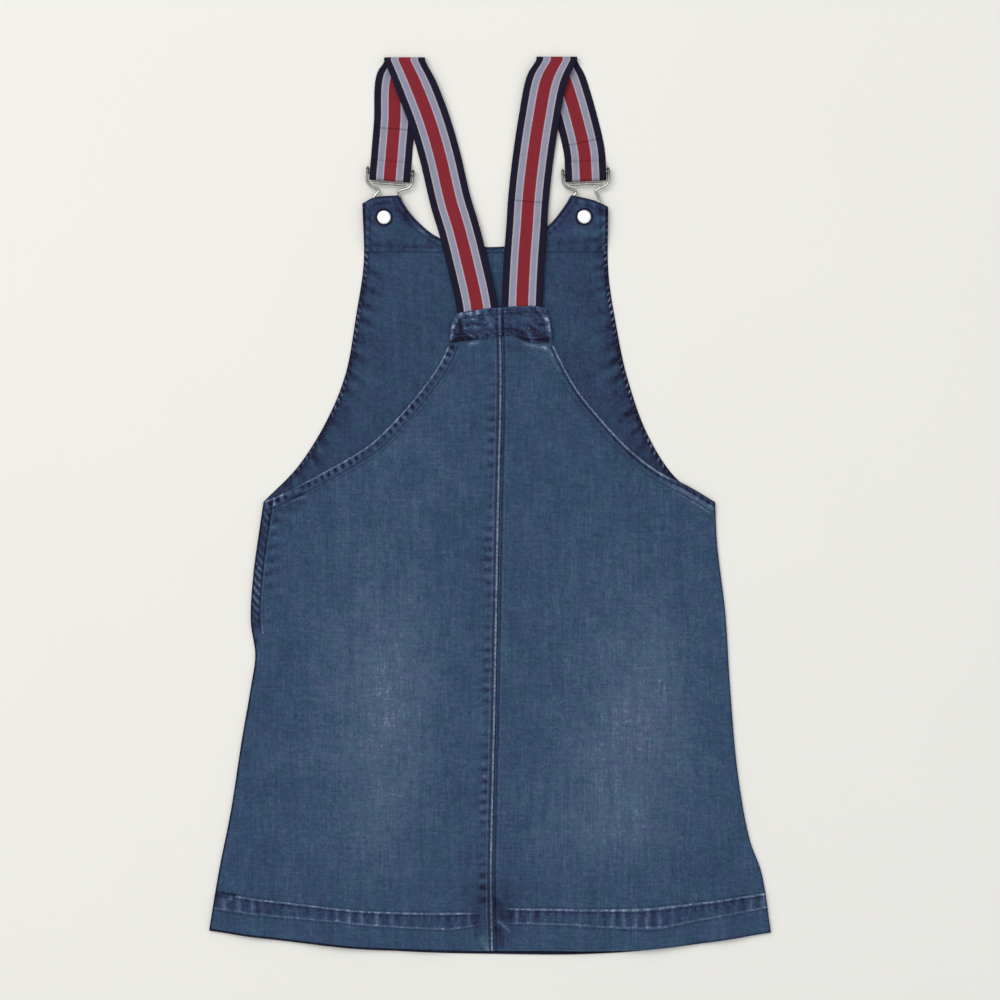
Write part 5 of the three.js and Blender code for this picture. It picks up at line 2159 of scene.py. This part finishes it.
@dataclass
class Button:
    """Riveted button: its head under the horn, its shank, and the back of its rivet on top."""

    side: Side

    def build(self, nickel: bpy.types.Material, bright: bpy.types.Material) -> None:
        """Build both parts.

        Args:
            nickel: The finish of the button.
            bright: The finish of its rivet's back.
        """
        centre = BUTTONS[self.side]
        name = self.side.value
        shank_top = HORN_LIFT + WALL + GAP + FACING
        foot = shank_top + GAP
        head = (
            (0, 0), (HEAD_RADIUS - 1.2, 0), (HEAD_RADIUS - 0.5, 0.3), (HEAD_RADIUS, 1), (HEAD_RADIUS, 1.6),
            (HEAD_RADIUS - 0.4, HEAD_HEIGHT - 0.5), (HEAD_RADIUS - 1, HEAD_HEIGHT - 0.2),
            (SHANK_RADIUS + 0.6, HEAD_HEIGHT), (SHANK_RADIUS, HEAD_HEIGHT + 0.3),
            (SHANK_RADIUS, shank_top), (0, shank_top),
        )
        settle(turned(f"button_{name}_head", head, centre), Slot.NICKEL, nickel, f"button_{name}")
        tack = (
            (0, foot), (TACK_RADIUS - 0.2, foot), (TACK_RADIUS, foot + 0.15), (TACK_RADIUS, foot + 0.45),
            (TACK_RADIUS - 0.2, foot + 0.72), (TACK_RADIUS - 0.55, foot + 0.95),
            (TACK_RADIUS - 1, foot + 1.12), (TACK_RADIUS - 1.5, foot + TACK_HEIGHT),
            (1.2, foot + TACK_HEIGHT), (0, foot + TACK_HEIGHT),
        )
        settle(turned(f"tack_{name}_disc", tack, centre), Slot.NICKEL, bright, f"tack_{name}")


@dataclass
class Studio:
    """Plain pale table, soft light and a camera that looks straight down."""

    view_width: float = 0.78
    view_x: float = 0.0078
    view_y: float = 0.0041
    camera_height: float = 2.6
    sensor: float = 36.0
    table_half: float = 6000.0
    window_size: tuple[float, float] = (2.9, 2.3)
    window_place: tuple[float, float, float] = (-1.8, 1.8, 3.6)
    window_lean: float = 24
    window_watts: float = 84
    window_colour: Colour = (1.0, 0.985, 0.96)
    room_levels: tuple[tuple[float, float], ...] = (
        (0.0, 0.2), (0.3, 0.28), (0.5, 0.62), (0.9, 0.64), (1.0, 1.0),
    )
    room_colour: Colour = (0.95, 0.97, 1.0)
    room_strength: float = 1.3

    def table(self) -> None:
        """Lay the table."""
        half = self.table_half
        corners = np.array([(-half, -half, 0), (half, -half, 0), (half, half, 0), (-half, half, 0)])
        floor = add_mesh("table", corners, [[0, 1, 2, 3]])
        floor.data.materials.append(TableFinish().make())

    def lights(self) -> None:
        """Hang a large soft light and fill the room with pale light."""
        lamp = bpy.data.lights.new("window", "AREA")
        lamp.shape = "RECTANGLE"
        lamp.size, lamp.size_y = self.window_size
        lamp.energy = self.window_watts
        lamp.color = self.window_colour
        window = bpy.data.objects.new("window", lamp)
        window.location = self.window_place
        window.rotation_euler = (math.radians(-self.window_lean), math.radians(-self.window_lean), 0)
        bpy.context.scene.collection.objects.link(window)
        bpy.context.scene.world = self.room()

    def room(self) -> bpy.types.World:
        """Light of the room: dim low down and brightest at its ceiling, as bright metal shows it.

        Returns:
            The world.
        """
        shader = Shader(bpy.data.worlds.new("room"))
        heading = shader.node("ShaderNodeTexCoord").outputs["Generated"]
        height = Signal(shader, shader.node("ShaderNodeSeparateXYZ", None, {0: heading}).outputs["Z"])
        stops = [
            (place, tuple(level * value for value in self.room_colour)) for place, level in self.room_levels
        ]
        values = {"Color": shader.colour(height, stops), "Strength": self.room_strength}
        light = shader.node("ShaderNodeBackground", None, values)
        shader.node("ShaderNodeOutputWorld", None, {"Surface": light.outputs["Background"]})
        return shader.owner

    def camera(self) -> None:
        """Set the camera over the dress."""
        lens = bpy.data.cameras.new("overhead")
        lens.sensor_width = self.sensor
        lens.lens = self.sensor * self.camera_height / self.view_width
        lens.clip_end = 50
        overhead = bpy.data.objects.new("overhead", lens)
        overhead.location = (self.view_x, self.view_y, self.camera_height)
        bpy.context.scene.collection.objects.link(overhead)
        bpy.context.scene.camera = overhead


def main() -> None:
    """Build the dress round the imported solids."""
    logging.basicConfig(level=logging.INFO, format="%(name)s: %(message)s")
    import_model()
    studio = Studio()
    studio.camera()
    studio.table()
    studio.lights()
    bpy.context.scene.view_settings.view_transform = "Standard"
    navy = NAVY_THREAD.make()
    pale = PALE_THREAD.make()
    nickel = NICKEL.make()
    bright = BRIGHT_NICKEL.make()
    front = Front()
    front.build()
    settle(front.sew(), Slot.INSIDE, navy)
    Facing(front).build()
    for side in Side:
        panel = BackPanel(side)
        panel.build()
        settle(panel.sew(), Slot.DENIM, navy)
        if side is Side.LEFT:
            settle(panel.sew_fell(), Slot.DENIM, pale)
    tab = Tab()
    tab.build()
    settle(tab.sew(), Slot.DENIM, navy)
    for side in Side:
        heading = Strap(side).build()
        Buckle(side, heading).build(nickel)
        Button(side).build(nickel, bright)


if __name__ == "__main__":
    main()
